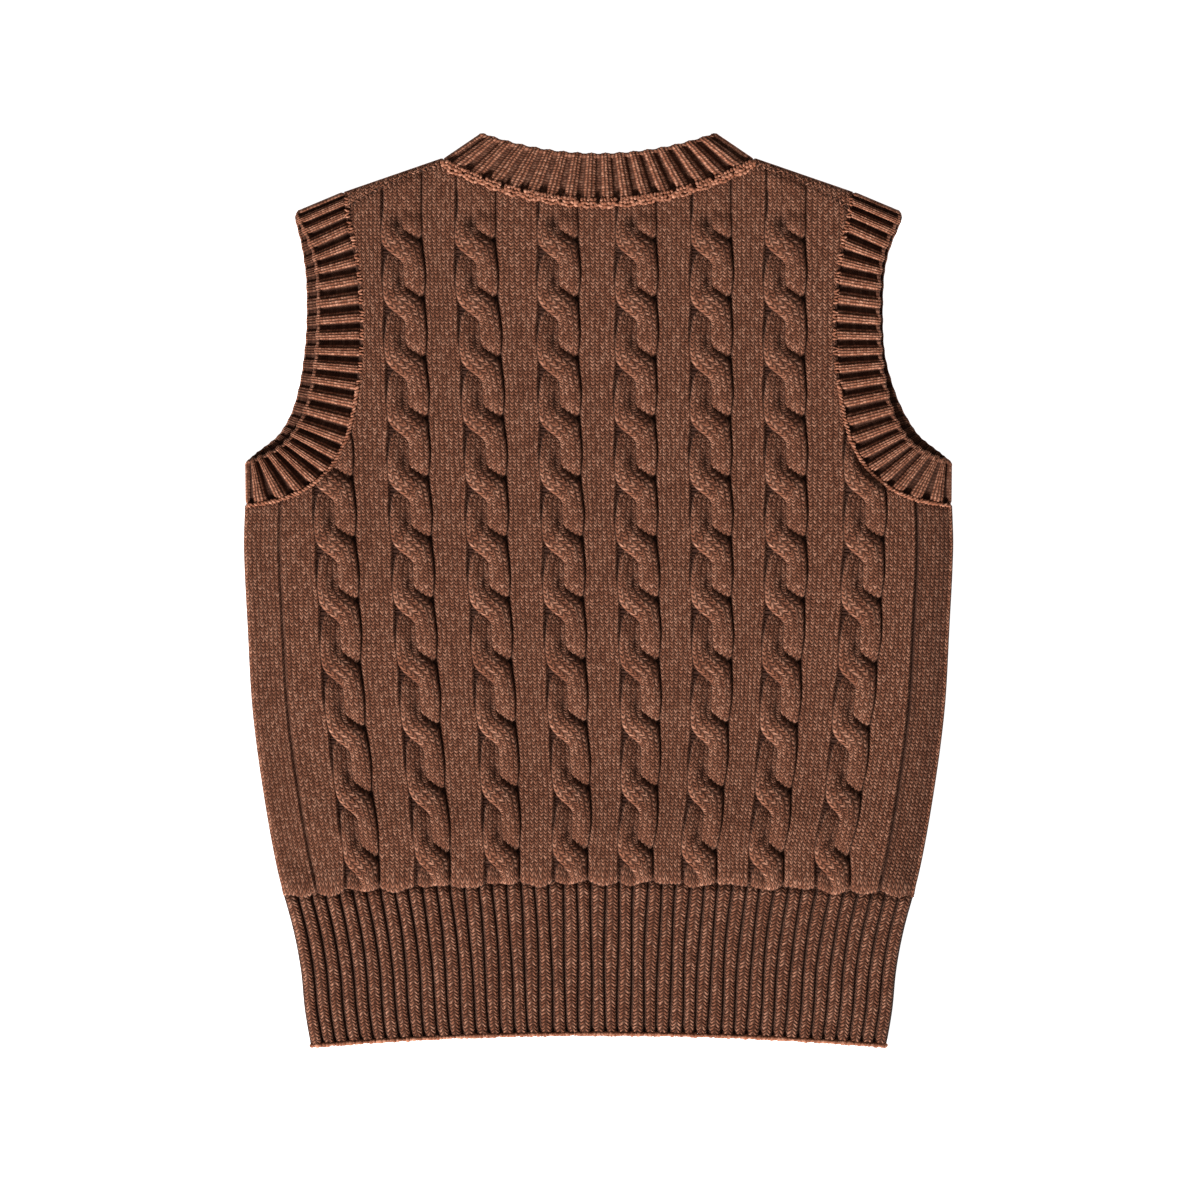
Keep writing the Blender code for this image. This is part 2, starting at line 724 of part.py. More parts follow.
def inside_hem(x, y):
    """Whether a spot lies well inside the hem's border."""
    between = hem_foot(x) + INSIDE_MARGIN < y < hem_top(x) - INSIDE_MARGIN
    return between and abs(x) < half_width(y) - INSIDE_MARGIN


def hem_rib_back():
    """The back's hem: upright ribs over a plain inside."""
    columns = [(0.0, -1.0)]
    for rib in range(HEM_RIBS):
        columns.append(((rib + RIDGE_START) / HEM_RIBS, 1.0))
        columns.append(((rib + RIDGE_END) / HEM_RIBS, 1.0))
        columns.append(((rib + 1.0) / HEM_RIBS, -1.0))
    points, faces = [], []
    for row in HEM_ROWS:
        for share, side in columns:
            across = share * 2 - 1
            start = HEM_TOP_HALF * across
            y_top = hem_top(start) - SEAM_GAP / 2
            y = y_top + (hem_foot(HEM_FOOT_HALF * across) - y_top) * row.share
            half = half_width(y)
            x = half * across
            relief = RIB_RIDGE if side > 0 else -RIB_GROOVE
            z = back_inside(x, y) + BACK_WALL + relief * row.relief - row.drop
            depth = half - abs(x)
            if depth < SIDE_ROUND:
                turn = math.sqrt(1 - (1 - depth / SIDE_ROUND) ** 2)
                z = SIDE_SEAM_Z + LAYER_GAP + (z - SIDE_SEAM_Z - LAYER_GAP) * turn
            points.append((x, y, z))
    width = len(columns)
    for row in range(len(HEM_ROWS) - 1):
        for place in range(width - 1):
            corner = row * width + place
            faces.append([corner + width, corner + width + 1, corner + 1, corner])
    inside = lattice(BACK_INSIDE_STEP, inside_hem)
    return wall_from_surface("hem_rib_back", points, faces, back_inside, inside)


def hem_rib_front():
    """The front's hem, flat on the surface."""
    outline = []
    for step in range(-HEM_RIB_STEPS, HEM_RIB_STEPS + 1):
        x = HEM_FOOT_HALF * step / HEM_RIB_STEPS
        outline.append((x, hem_foot(x)))
    heights = [row.y for row in SIDES[1:4]]
    outline += [(half_width(y), y) for y in heights]
    edge = half_width(hem_top(HEM_TOP_HALF))
    for step in range(HEM_RIB_STEPS, -HEM_RIB_STEPS - 1, -1):
        x = edge * step / HEM_RIB_STEPS
        outline.append((x, hem_top(x) - SEAM_GAP / 2))
    outline += [(-half_width(y), y) for y in heights[::-1]]
    rings = []
    for edge_row in FRONT_EDGE[:3] + FRONT_EDGE[-1:]:
        ring = []
        for spot, (x, y) in enumerate(outline):
            at_side = abs(x) > half_width(y) - ON_SIDE
            inset = edge_row.inset if at_side else HEM_TAPER * (1 + edge_row.height)
            ring.append((*inward(outline, spot, inset), edge_row.height))
        rings.append(ring)
    inside = lattice(FRONT_INSIDE_STEP, inside_hem)
    return stacked_rings("hem_rib_front", rings, inside)


# ---------------------------------------------------------------- the bands

# A band is a closed strip.  Each station has its base and tip, the way its outer side
# faces, and how far that side stands from the middle between the layers.
Station = namedtuple("Station", "base tip facing reach")
BAND_MIDDLE = FRONT_WALL + LAYER_GAP / 2
INNER_REACH = LAYER_GAP / 2
TOP_REACH = FRONT_WALL + LAYER_GAP + BACK_WALL - BAND_MIDDLE
UNDER_REACH = BAND_MIDDLE
UP, DOWN = Vector((0, 0, 1)), Vector((0, 0, -1))
FOLD_TURNS = (30, 90, 150)

# Across a band: share of its width from base to tip, and how much lower its outer
# side is there.
Across = namedtuple("Across", "share drop")
BAND_ACROSS = (Across(0.0, 0.5), Across(0.07, 0.0), Across(0.93, 0.0), Across(1.0, 0.8))


def fold(base, tip, outwards, downwards):
    """Stations that take a band round its fold, from the top to the underside."""
    stations = []
    for turn in FOLD_TURNS if downwards else FOLD_TURNS[::-1]:
        angle = math.radians(turn)
        facing = UP * math.cos(angle) + outwards * math.sin(angle)
        reach = TOP_REACH + (UNDER_REACH - TOP_REACH) * turn / 180
        stations.append(Station(base, tip, facing, reach))
    return stations


def rib_stations(count, base_at, tip_at):
    """Stations over the ribs of a band's back half."""
    profile = ((0.0, -RIB_GROOVE), (RIDGE_START, RIB_RIDGE), (RIDGE_END, RIB_RIDGE))
    stations = []
    for rib in range(count):
        for part, relief in profile:
            share = (rib + part) / count
            stations.append(Station(base_at(share), tip_at(share), UP, TOP_REACH + relief))
    stations.append(Station(base_at(1.0), tip_at(1.0), UP, TOP_REACH - RIB_GROOVE))
    return stations


def band(name, stations, clockwise):
    """A closed strip through its stations, with a plain inner side."""
    points, faces = [], []
    for station in stations:
        base, tip = Vector((*station.base, BAND_MIDDLE)), Vector((*station.tip, BAND_MIDDLE))
        for across in BAND_ACROSS:
            drop = across.drop if station.facing.z > 0 else 0.0
            spot = base.lerp(tip, across.share) + station.facing * (station.reach - drop)
            points.append(spot)
        points.append(tip + station.facing * INNER_REACH)
        points.append(base + station.facing * INNER_REACH)
    size = len(BAND_ACROSS) + 2
    for index in range(len(stations)):
        start = index * size
        after = (index + 1) % len(stations) * size
        for corner in range(size):
            beside = (corner + 1) % size
            face = [start + corner, start + beside, after + beside, after + corner]
            faces.append(face[::-1] if clockwise else face)
    return add_object(name, points, faces)


def outward_of(base, tip, away_from):
    """Level direction square to a fold, pointing away from a place on the garment."""
    run = Vector(tip) - Vector(base)
    square = Vector((-run.y, run.x)).normalized()
    if square.dot(Vector(base) - Vector(away_from)) < 0:
        square = -square
    return square.to_3d()


def armband(name, side):
    """The band round one armhole: ribs on the back half, plain under the front half."""
    def base_at(share):
        return side * arm("base_x", share), arm("base_y", share)

    def tip_at(share):
        return side * arm("tip_x", share), arm("tip_y", share)

    def front_tip_at(share):
        base, tip = Vector(base_at(share)), Vector(tip_at(share))
        peek = arm("left_peek" if side < 0 else "right_peek", share)
        return tuple(tip + (tip - base).normalized() * peek)

    underarm_out = Vector((side, 0, 0))
    shoulder_out = outward_of(base_at(0), tip_at(0), (0, 0))
    stations = rib_stations(ARM_RIBS, base_at, tip_at)
    stations += fold(base_at(1), tip_at(1), underarm_out, True)
    for step in range(BAND_FRONT_STEPS, -1, -1):
        share = step / BAND_FRONT_STEPS
        stations.append(Station(base_at(share), front_tip_at(share), DOWN, UNDER_REACH))
    stations += fold(base_at(0), tip_at(0), shoulder_out, False)
    return band(name, stations, clockwise=side > 0)


def neckband():
    """The neckband: ribs round the back of the neck, and a plain V under the front."""
    def base_at(share):
        across = share * 2 - 1
        return NECK_HALF * across, NECK_DIP + NECK_RISE * across ** 2

    def tip_at(share):
        across = share * 2 - 1
        return NECK_TIP_HALF * across, NECK_TIP_DIP + NECK_TIP_RISE * across ** 2

    right_out = outward_of(base_at(1), tip_at(1), (0, 0))
    left_out = outward_of(base_at(0), tip_at(0), (0, 0))
    half_angle = math.atan2(NECK_HALF, V_DEPTH)
    v_tip = v_point() + BAND_WIDTH / math.sin(half_angle)
    stations = rib_stations(NECK_RIBS, base_at, tip_at)
    stations += fold(base_at(1), tip_at(1), right_out, True)
    for step in range(-BAND_V_STEPS, BAND_V_STEPS + 1):
        share = abs(step) / BAND_V_STEPS
        end = 1 if step < 0 else 0
        base = Vector((0, v_point())).lerp(Vector(base_at(end)), share)
        tip = Vector((0, v_tip)).lerp(Vector(tip_at(end)), share)
        stations.append(Station(tuple(base), tuple(tip), DOWN, UNDER_REACH))
    stations += fold(base_at(0), tip_at(0), left_out, False)
    return band("neckband", stations, clockwise=True)


# ---------------------------------------------------------------- the whole garment

def clear_scene():
    for piece in list(bpy.data.objects):
        bpy.data.objects.remove(piece, do_unlink=True)


def main():
    clear_scene()
    pieces = [
        back_panel(),
        front_panel(),
        hem_rib_back(),
        hem_rib_front(),
        neckband(),
        armband("armband_left", -1),
        armband("armband_right", 1),
    ]
    garment = bpy.data.objects.new("sweater_vest", None)
    bpy.context.scene.collection.objects.link(garment)
    for piece in pieces:
        piece.parent = garment


main()
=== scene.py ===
import math
from collections import namedtuple

import bpy
import numpy as np
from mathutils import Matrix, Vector
from mathutils.geometry import delaunay_2d_cdt
from mathutils.kdtree import KDTree


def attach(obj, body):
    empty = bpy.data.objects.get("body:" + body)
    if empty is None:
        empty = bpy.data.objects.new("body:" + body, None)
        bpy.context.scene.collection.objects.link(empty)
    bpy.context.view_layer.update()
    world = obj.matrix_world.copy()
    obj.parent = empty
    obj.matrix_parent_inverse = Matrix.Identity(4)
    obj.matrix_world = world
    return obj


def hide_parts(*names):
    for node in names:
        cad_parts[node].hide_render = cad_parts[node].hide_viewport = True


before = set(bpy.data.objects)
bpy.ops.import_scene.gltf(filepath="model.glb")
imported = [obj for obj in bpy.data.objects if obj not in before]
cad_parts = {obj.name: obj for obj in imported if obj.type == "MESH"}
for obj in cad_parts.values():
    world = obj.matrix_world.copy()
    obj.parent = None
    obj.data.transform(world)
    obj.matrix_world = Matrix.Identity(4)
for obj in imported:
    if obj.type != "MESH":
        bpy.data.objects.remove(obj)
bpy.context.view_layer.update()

MILLIMETRE = 0.001
BODY = "root"
UP, DOWN = np.array((0.0, 0.0, 1.0)), np.array((0.0, 0.0, -1.0))

# ---------------------------------------------------------------- sizes of the garment

FRONT_WALL = 2.2
LAYER_GAP = 0.3
BACK_WALL = 2.3
SEAM_GAP = 0.36
SIDE_ROUND = 4.5
SIDE_SEAM_Z = FRONT_WALL + LAYER_GAP
SIDE_GROOVE_INSET = 16.2
HEM_RIBS = 45
NECK_RIBS = 16
ARM_RIBS = 21
HEM_TOP_MIDDLE = -130.3
HEM_TOP_DROP = 6.3
HEM_FOOT_MIDDLE = -200.3
HEM_FOOT_DROP = 5.4
HEM_TOP_HALF = 142.5
HEM_FOOT_HALF = 129.2
NECK_HALF = 69.2
NECK_DIP = 174.0
NECK_RISE = 17.5
NECK_TIP_HALF = 50.2
NECK_TIP_DIP = 196.0
NECK_TIP_RISE = 8.4
V_DEPTH = 125.0
V_START = 3.0
BAND_WIDTH = 22.3
Point = namedtuple("Point", "x y")
SHOULDER_NECK = Point(71.2, 190.9)
SHOULDER_ARM = Point(113.2, 171.6)
SHOULDER_BOW = 2.0
FOLD_NECK = Point(70.9, 193.8)
FOLD_ARM = Point(114.4, 178.8)
BAG_HEIGHT = -110.0
BAG_REACH = 18.0
BAG_LIFT = 1.6
BODY_LIFT = 0.6
BODY_LIFT_TOP = 90.0
BODY_LIFT_FADE = 80.0
LIFT_MARGIN = 32.0
BAND_MIDDLE = FRONT_WALL + LAYER_GAP / 2
TOP_REACH = FRONT_WALL + LAYER_GAP + BACK_WALL - BAND_MIDDLE

Side = namedtuple("Side", "y half")
SIDES = (
    Side(-206, 129.2), Side(-189, 132.1), Side(-171, 133.9), Side(-153, 137.3),
    Side(-126, 144.5), Side(-90, 151.0), Side(-54, 155.7), Side(-18, 157.8),
    Side(18, 159.5), Side(38, 159.0),
)
Cables = namedtuple("Cables", "y c1 c2 c3 c4 c5 c6 c7 c8 width")
CABLES = (
    Cables(-117, -106.4, -74.0, -43.2, -12.6, 16.7, 45.7, 75.4, 105.1, 15.3),
    Cables(-95, -108.9, -76.3, -43.9, -11.9, 18.9, 47.9, 78.3, 109.8, 15.8),
    Cables(-41, -114.8, -81.0, -46.8, -14.0, 18.9, 50.9, 82.4, 116.1, 17.0),
    Cables(13, -117.5, -83.3, -49.3, -15.8, 17.6, 51.1, 84.4, 119.0, 17.7),
    Cables(72, -119.7, -85.5, -51.3, -17.1, 16.9, 50.4, 83.9, 120.2, 17.8),
    Cables(157, -119.7, -88.0, -55.1, -18.2, 17.1, 51.1, 84.2, 119.9, 18.0),
)
CABLE_COUNT = 8
CROSSINGS = (157.0, 131.0, 104.0, 77.0, 50.0, 23.0, -4.3, -32.0, -60.0, -89.0, -117.0)
Arm = namedtuple("Arm", "share base_x base_y tip_x tip_y left_peek right_peek")
ARMBAND = (
    Arm(0.00, 113.8, 177.0, 136.2, 167.6, 0.5, 0.5),
    Arm(0.05, 113.8, 171.6, 134.0, 163.0, 1.6, 1.0),
    Arm(0.10, 112.9, 165.8, 131.2, 157.6, 3.0, 1.4),
    Arm(0.15, 111.2, 158.5, 128.8, 151.0, 4.2, 1.5),
    Arm(0.24, 108.6, 143.8, 127.0, 140.0, 4.6, 1.4),
    Arm(0.36, 107.0, 122.5, 126.7, 120.8, 4.6, 1.2),
    Arm(0.47, 107.4, 104.5, 127.6, 105.4, 4.8, 1.3),
    Arm(0.57, 109.0, 88.5, 129.6, 92.0, 4.8, 2.6),
    Arm(0.64, 111.2, 76.5, 132.2, 81.8, 4.8, 3.8),
    Arm(0.70, 114.4, 66.0, 135.6, 74.0, 4.6, 4.4),
    Arm(0.78, 121.0, 54.8, 140.4, 67.2, 4.2, 4.2),
    Arm(0.86, 130.6, 46.4, 146.4, 62.8, 3.4, 3.4),
    Arm(0.93, 142.4, 41.0, 152.6, 59.9, 2.0, 2.0),
    Arm(1.00, 156.6, 38.2, 156.8, 58.6, 0.4, 0.4),
)

# ---------------------------------------------------------------- sizes of the knitting

WALE = 2.1                  # width of a stitch
COURSE = 1.6                # height of a stitch
ROWS = 2                    # rows of the mesh for each course
LEG_RISE = 1.3              # how much higher a stitch's legs are at its sides
HEM_LEG_RISE = 1.5
WALE_DIP = 0.30             # the dip between two wales
STITCH_DIP = 0.13           # half the height from a stitch down to the gap above it
PLAIN_WALES = 7             # between two cables, and beside the side groove
SIDE_WALES = 8
CABLE_WALES = 4             # in each of a cable's two strands
GROOVE_HALF = 0.72          # half the width of the purl groove beside a cable
GROOVE_DEPTH = 1.2
GROOVE_SHADE = 0.85
FLOOR = 1.35                # the cloth under a cable is this much lower
FLOOR_INSET = 0.9
SEAM_DIP = 0.45             # how far the cloth goes down into a seam
SEAM_REACH = 2.2
ARCH_REACH = 170.0          # above the hem the courses straighten out over this height
PUFF_REACH = 2.6            # how far the body's lower edge rounds down to the hem
PUFF_DROP = 0.7
LIP = 2.5                   # that edge hangs this far over the hem
LIP_SHARE = 0.05            # and this share of it between two sections
LIP_REACH = 7.0
LIP_UNEVEN = 0.8            # it is uneven by this, in two waves
Wave = namedtuple("Wave", "width size shift")
LIP_WAVES = (Wave(5.3, 1.0, 0.0), Wave(2.1, 0.6, 1.3))
BULGE = 1.3                 # above it each section of the back bulges by this
BULGE_PLACE = 3.4
BULGE_REACHES = (9.0, 3.2)  # above its crest and below it
TUCK = 1.0                  # height over the inner side at which the lip is tucked in
PINCH = 0.035               # a cable is this share narrower at its crossings
SWAY = 0.22                 # and sways to the sides by about this


# ---------------------------------------------------------------- reading the tables

def read(table, name, keys):
    """Read a column of a table on a smooth curve through its rows."""
    at, values = np.array([[row[0], getattr(row, name)] for row in table], float).T
    keys = np.clip(keys, at[0], at[-1])
    rows = np.arange(len(at))
    before, after = np.maximum(rows - 1, 0), np.minimum(rows + 1, len(at) - 1)
    slopes = (values[after] - values[before]) / (at[after] - at[before])
    low = np.clip(np.searchsorted(at, keys, side="right") - 1, 0, len(at) - 2)
    step = at[low + 1] - at[low]
    t = (keys - at[low]) / step
    start = values[low] * (1 + 2 * t) + slopes[low] * step * t
    end = values[low + 1] * (3 - 2 * t) + slopes[low + 1] * step * (t - 1)
    return start * (1 - t) ** 2 + end * t * t


def half_width(y):
    return read(SIDES, "half", y)


def arm(name, share):
    return read(ARMBAND, name, share)


def hem_top(x):
    return HEM_TOP_MIDDLE - HEM_TOP_DROP * (x / HEM_TOP_HALF) ** 2


def hem_foot(x):
    return HEM_FOOT_MIDDLE - HEM_FOOT_DROP * (x / HEM_FOOT_HALF) ** 2


def arm_line(end, share):
    """Points along an armband's base or tip, from the shoulder (0) to the underarm (1)."""
    return np.stack([arm(end + "_x", share), arm(end + "_y", share)], -1)


def neck_line(across):
    """Points along the neckband's base at the back, from its left end (-1) to its right."""
    return np.stack([NECK_HALF * across, NECK_DIP + NECK_RISE * across ** 2], -1)


def unit(vectors):
    return vectors / np.linalg.norm(vectors, axis=-1, keepdims=True)


def ease(share):
    """From 0 to 1 with soft ends."""
    share = np.clip(share, 0.0, 1.0)
    return share * share * (3 - 2 * share)


def rounding(depth, reach):
    """From 0 at an edge to 1 at reach in from it, as a quarter of a circle."""
    return np.sqrt(1 - (1 - np.clip(depth / reach, 0.0, 1.0)) ** 2)


def lift(x, y):
    """How far the back stands off the front over its middle and above the hem."""
    margin = ease((half_width(y) - np.abs(x)) / LIFT_MARGIN)
    bag = BAG_LIFT * np.exp(-((y - BAG_HEIGHT) / BAG_REACH) ** 2)
    above_hem = ease((y - hem_top(x)) / LIFT_MARGIN)
    below_arms = ease((BODY_LIFT_TOP - y) / BODY_LIFT_FADE)
    return margin * (bag + BODY_LIFT * above_hem * below_arms)


def back_inside(x, y):
    """Height of the back's plain inner side."""
    return FRONT_WALL + LAYER_GAP + lift(x, y)


def shoulder_seam(share, offset):
    """Points of the shoulder seam, from the neck (0) to the armhole (1)."""
    run_x = SHOULDER_ARM.x - SHOULDER_NECK.x
    run_y = SHOULDER_ARM.y - SHOULDER_NECK.y
    length = math.hypot(run_x, run_y)
    out = SHOULDER_BOW * 4 * share * (1 - share) + offset
    return np.stack([SHOULDER_NECK.x + run_x * share - out * run_y / length,
                     SHOULDER_NECK.y + run_y * share + out * run_x / length], -1)


# ---------------------------------------------------------------- the back's upper border

ARM_CUT = 0.5               # the back's cloth ends this far inside the armhole's base line
NECK_CUT = 0.36
INSIDE_CUT = 0.12           # a point nearer than this to the border is put on it
SIDE_REACH = 5.0            # the border goes on this far past the underarm's corner
SIDE_SLOPE = 0.001          # and falls a little there, so that no two points are level
HOLE_START = 0.045          # share of the armhole that the shoulder seam cuts off
HOLE_STEPS, SIDE_STEPS, TOP_STEPS, NECK_STEPS = 1600, 60, 600, 900


def offset_line(line, distance):
    """A line of points moved sideways, to the left of its direction."""
    run = unit(np.gradient(line, axis=0))
    return line + distance * np.stack([-run[:, 1], run[:, 0]], -1)


def upper_border():
    """The back's border on its right half: up the armhole, and in over the shoulder."""
    hole = offset_line(arm_line("base", np.linspace(1, HOLE_START, HOLE_STEPS)), ARM_CUT)
    outwards = np.linspace(SIDE_REACH, 0, SIDE_STEPS)[:-1, None]
    hole = np.concatenate([hole[0] + outwards * (1.0, -SIDE_SLOPE), hole])
    top = shoulder_seam(np.linspace(1, 0, TOP_STEPS), -SEAM_GAP / 2)
    neck = neck_line(np.linspace(1, 0, NECK_STEPS)) - (0, NECK_CUT)
    return hole, np.concatenate([top, neck])


HOLE_LINE, TOP_LINE = upper_border()
BORDER = np.concatenate([HOLE_LINE, TOP_LINE])
BORDER = np.concatenate([BORDER, BORDER * (-1, 1)])
BORDER_TREE = KDTree(len(BORDER))
for place, spot in enumerate(BORDER):
    BORDER_TREE.insert((*spot, 0), place)
BORDER_TREE.balance()


def within(x, y):
    """Whether points lie inside the back's upper border."""
    reach = np.abs(x)
    rising = HOLE_LINE[np.argsort(HOLE_LINE[:, 1])]
    beside_arm = reach < np.interp(y, rising[:, 1], rising[:, 0], left=np.inf)
    below_top = y < np.interp(reach, TOP_LINE[::-1, 0], TOP_LINE[::-1, 1])
    return beside_arm & below_top


def to_border(x, y):
    """Distance of points into the back from its upper border, and the nearest place on it."""
    flat = np.stack([x.ravel(), y.ravel()], -1)
    near = np.empty_like(flat)
    distance = np.empty(len(flat))
    for index, (at_x, at_y) in enumerate(flat):
        _, place, gap = BORDER_TREE.find((at_x, at_y, 0))
        near[index] = BORDER[place]
        distance[index] = gap
    distance = distance.reshape(x.shape) * np.where(within(x, y), 1, -1)
    return distance, near.reshape(*x.shape, 2)


# ---------------------------------------------------------------- making the meshes

BAKE_MARGIN = 3.0           # between two patches on a piece's bake sheet
WALL_SHEET = 3.0            # width there of the wall round a border
WALL_SCALE = 0.25
INNER_SCALE = 0.3           # inner sides don't show, so they take little room there
BEAD_SHEET = (2.0, 3.0)
TUBE_SHEET = (4.0, 0.4)     # its width, and its length for each step of the tube
SHEET_EDGE = 1.0            # left free round the whole sheet
BEAD_SIDES = 8
BEAD_RINGS = 5
JOINED = 2000               # points closer than one over this are one point
FILL_INSIDE = 1             # triangulate only inside the border
FILL_TOLERANCE = 1e-5
LATTICE_REACH = 200


class Piece:
    """One piece of cloth, gathered patch by patch."""

    def __init__(self, name, shelf=math.inf):
        self.name = name
        self.points, self.painted_shades = [], []
        self.faces, self.stitch, self.sheet = [], [], []
        self.count = 0
        self.shelf = shelf      # on the bake sheet the patches lie on shelves of this width
        self.shelf_foot = self.shelf_right = 0.0
        self.sheet_top = self.sheet_right = 0.0

    def add(self, points, painted_shades, faces, stitch, sheet):
        """Add a patch: its points and the painted shade of each, and its faces' maps."""
        self.points.append(points)
        self.painted_shades.append(painted_shades)
        self.faces.append(faces + self.count)
        self.stitch.append(stitch)
        low, high = sheet.reshape(-1, 2).min(axis=0), sheet.reshape(-1, 2).max(axis=0)
        if self.shelf_right + high[0] - low[0] > self.shelf:
            self.shelf_right = 0.0
            self.shelf_foot = self.sheet_top + BAKE_MARGIN
        self.sheet.append(sheet - low + (self.shelf_right, self.shelf_foot))
        self.shelf_right += high[0] - low[0] + BAKE_MARGIN
        self.sheet_right = max(self.sheet_right, self.shelf_right)
        self.sheet_top = max(self.sheet_top, self.shelf_foot + high[1] - low[1])
        self.count += len(points)

    def grid(self, points, painted_shades, stitch, spread, keep=None, ring=False):
        """Add a grid of points; as a ring, its last column is its first again."""
        rows, columns = points.shape[:2]
        index = np.arange(rows * columns).reshape(rows, columns)
        if ring:
            index = index[:, list(range(columns - 1)) + [0]]

        def at_corners(values):
            return np.stack([values[:-1, :-1], values[:-1, 1:], values[1:, 1:],
                             values[1:, :-1]], 2)

        sheet = np.stack(np.meshgrid(np.linspace(0, spread[0], columns),
                                     np.linspace(0, spread[1], rows)), -1)
        chosen = np.ones((rows - 1, columns - 1), bool) if keep is None else keep
        self.add(points.reshape(-1, 3), painted_shades.ravel(),
                 *(at_corners(values)[chosen] for values in (index, stitch, sheet)))

    def take(self, other):
        """Add the patches of another piece, which is closed in itself."""
        first = 0
        for points, painted_shades, faces, stitch, sheet in zip(other.points, other.painted_shades, other.faces,
                                                      other.stitch, other.sheet):
            self.add(points, painted_shades, faces - first, stitch, sheet)
            first += len(points)

    def border(self):
        """The open border of the faces so far, as one loop that runs with them."""
        start = np.concatenate([faces.ravel() for faces in self.faces])
        end = np.concatenate([np.roll(faces, -1, axis=1).ravel() for faces in self.faces])
        single = ~np.isin(start * self.count + end, end * self.count + start)
        ahead = dict(zip(start[single].tolist(), end[single].tolist()))
        first = next(iter(ahead))
        loop = [first]
        while ahead[loop[-1]] != first:
            loop.append(ahead[loop[-1]])
        if len(loop) != len(ahead):
            raise ValueError(f"{self.name}: its border is {len(ahead)} long, not {len(loop)}")
        return np.array(loop)

    def close(self, inner_height, spots=(), upwards=False):
        """Close an open surface: a wall round its border and a plain inner side."""
        loop = self.border()
        outer = np.concatenate(self.points)[loop]
        inner = outer.copy()
        inner[:, 2] = inner_height(outer, loop)
        size = len(loop)
        here, after = np.arange(size), (np.arange(size) + 1) % size
        steps = np.linalg.norm(outer[after] - outer, axis=1)
        low, high = steps.cumsum() - steps, steps.cumsum()
        points = np.concatenate([outer, inner])
        walls = np.stack([after, here, here + size, after + size], -1)
        along = np.stack([high, low, low, high], -1)
        over = np.tile([0.0, 0.0, 1.0, 1.0], (size, 1))
        # The wall is painted from no shade at its top to full painted shade at the inner side.
        self.add(points, np.repeat([0.0, 1.0], size), walls,
                 np.stack([over, along / COURSE], -1),
                 np.stack([over * WALL_SHEET, along * WALL_SCALE], -1))

        self.fill(inner, spots, lambda points: inner_height(points, None), upwards)

    def fill(self, loop, spots, height_at, upwards):
        """Close a loop of points with triangles, through spots inside it."""
        flat = [Vector(point[:2]) for point in loop] + [Vector(spot) for spot in spots]
        filled = delaunay_2d_cdt(flat, [], [list(range(len(loop)))], FILL_INSIDE,
                                 FILL_TOLERANCE)
        points = np.array([[place.x, place.y, 0.0] for place in filled[0]])
        if len(spots):
            points[:, 2] = height_at(points)
        for index, origins in enumerate(filled[3]):
            if origins and origins[0] < len(loop):
                points[index] = loop[origins[0]]
        triangles = np.array(filled[2])
        if not upwards:
            triangles = triangles[:, ::-1]
        maps = points[triangles][:, :, :2]
        self.add(points, np.zeros(len(points)), triangles, maps / (WALE, COURSE),
                 maps * INNER_SCALE)

    def beads(self, centres, axes, sizes):
        """Small rounded loops of yarn; axes are each one's own three directions."""
        turn = np.linspace(0, 2 * np.pi, BEAD_SIDES + 1)
        rise = np.linspace(-np.pi / 2, np.pi / 2, BEAD_RINGS + 1)[:, None]
        shape = np.stack([np.sin(rise) + 0 * turn, np.cos(rise) * np.cos(turn),
                          np.cos(rise) * np.sin(turn)], -1)
        maps = np.stack([(rise / np.pi + 0.5) + 0 * turn, turn / np.pi + 0 * rise], -1)
        for centre, own, size in zip(centres, axes, sizes):
            points = centre + (shape * size) @ own
            self.grid(points, np.zeros(points.shape[:2]), maps + centre[:2], BEAD_SHEET,
                      ring=True)

    def tube(self, line, radii, gap=1.0):
        """A round cord along a line of points, with its ends drawn to a point; gap is its
        painted shade, wholly dark by default.
        """
        run = unit(np.gradient(line, axis=0))
        side = unit(np.cross(UP, run))
        above = np.cross(run, side)
        turn = np.linspace(0, 2 * np.pi, BEAD_SIDES + 1)[None, :, None]
        shrink = np.ones((len(line), 1, 1))
        shrink[[0, -1]] = 0.0
        points = line[:, None] + shrink * (
            radii[0] * np.cos(turn) * side[:, None] + radii[1] * np.sin(turn) * above[:, None])
        along = np.arange(len(line))[:, None] / 2
        maps = np.stack(np.broadcast_arrays(turn[0, :, 0] / np.pi, along), -1)
        spread = (TUBE_SHEET[0], len(line) * TUBE_SHEET[1])
        self.grid(points, np.full(points.shape[:2], gap), maps, spread, ring=True)

    def without_narrow_sides(self, faces):
        """Faces with two corners in one point become triangles, or are left out."""
        kept = []
        for patch in zip(faces, self.stitch, self.sheet):
            doubled = patch[0] == np.roll(patch[0], -1, axis=1)
            corners = doubled.shape[1]
            whole = ~doubled.any(axis=1)
            kept.append([values[whole] for values in patch])
            for corner in range(corners if corners > 3 else 0):
                chosen = doubled[:, corner] & (doubled.sum(axis=1) == 1)
                left = [place for place in range(corners) if place != corner]
                kept.append([values[chosen][:, left] for values in patch])
        faces, self.stitch, self.sheet = zip(*kept)
        return faces

    def volume(self, points):
        """Six times the volume inside the faces, below zero if they face inwards."""
        total = 0.0
        for faces in self.faces:
            for corner in range(1, faces.shape[1] - 1):
                first, second, third = (points[faces[:, place]] for place in
                                        (0, corner, corner + 1))
                total += (first * np.cross(second, third)).sum()
        return total

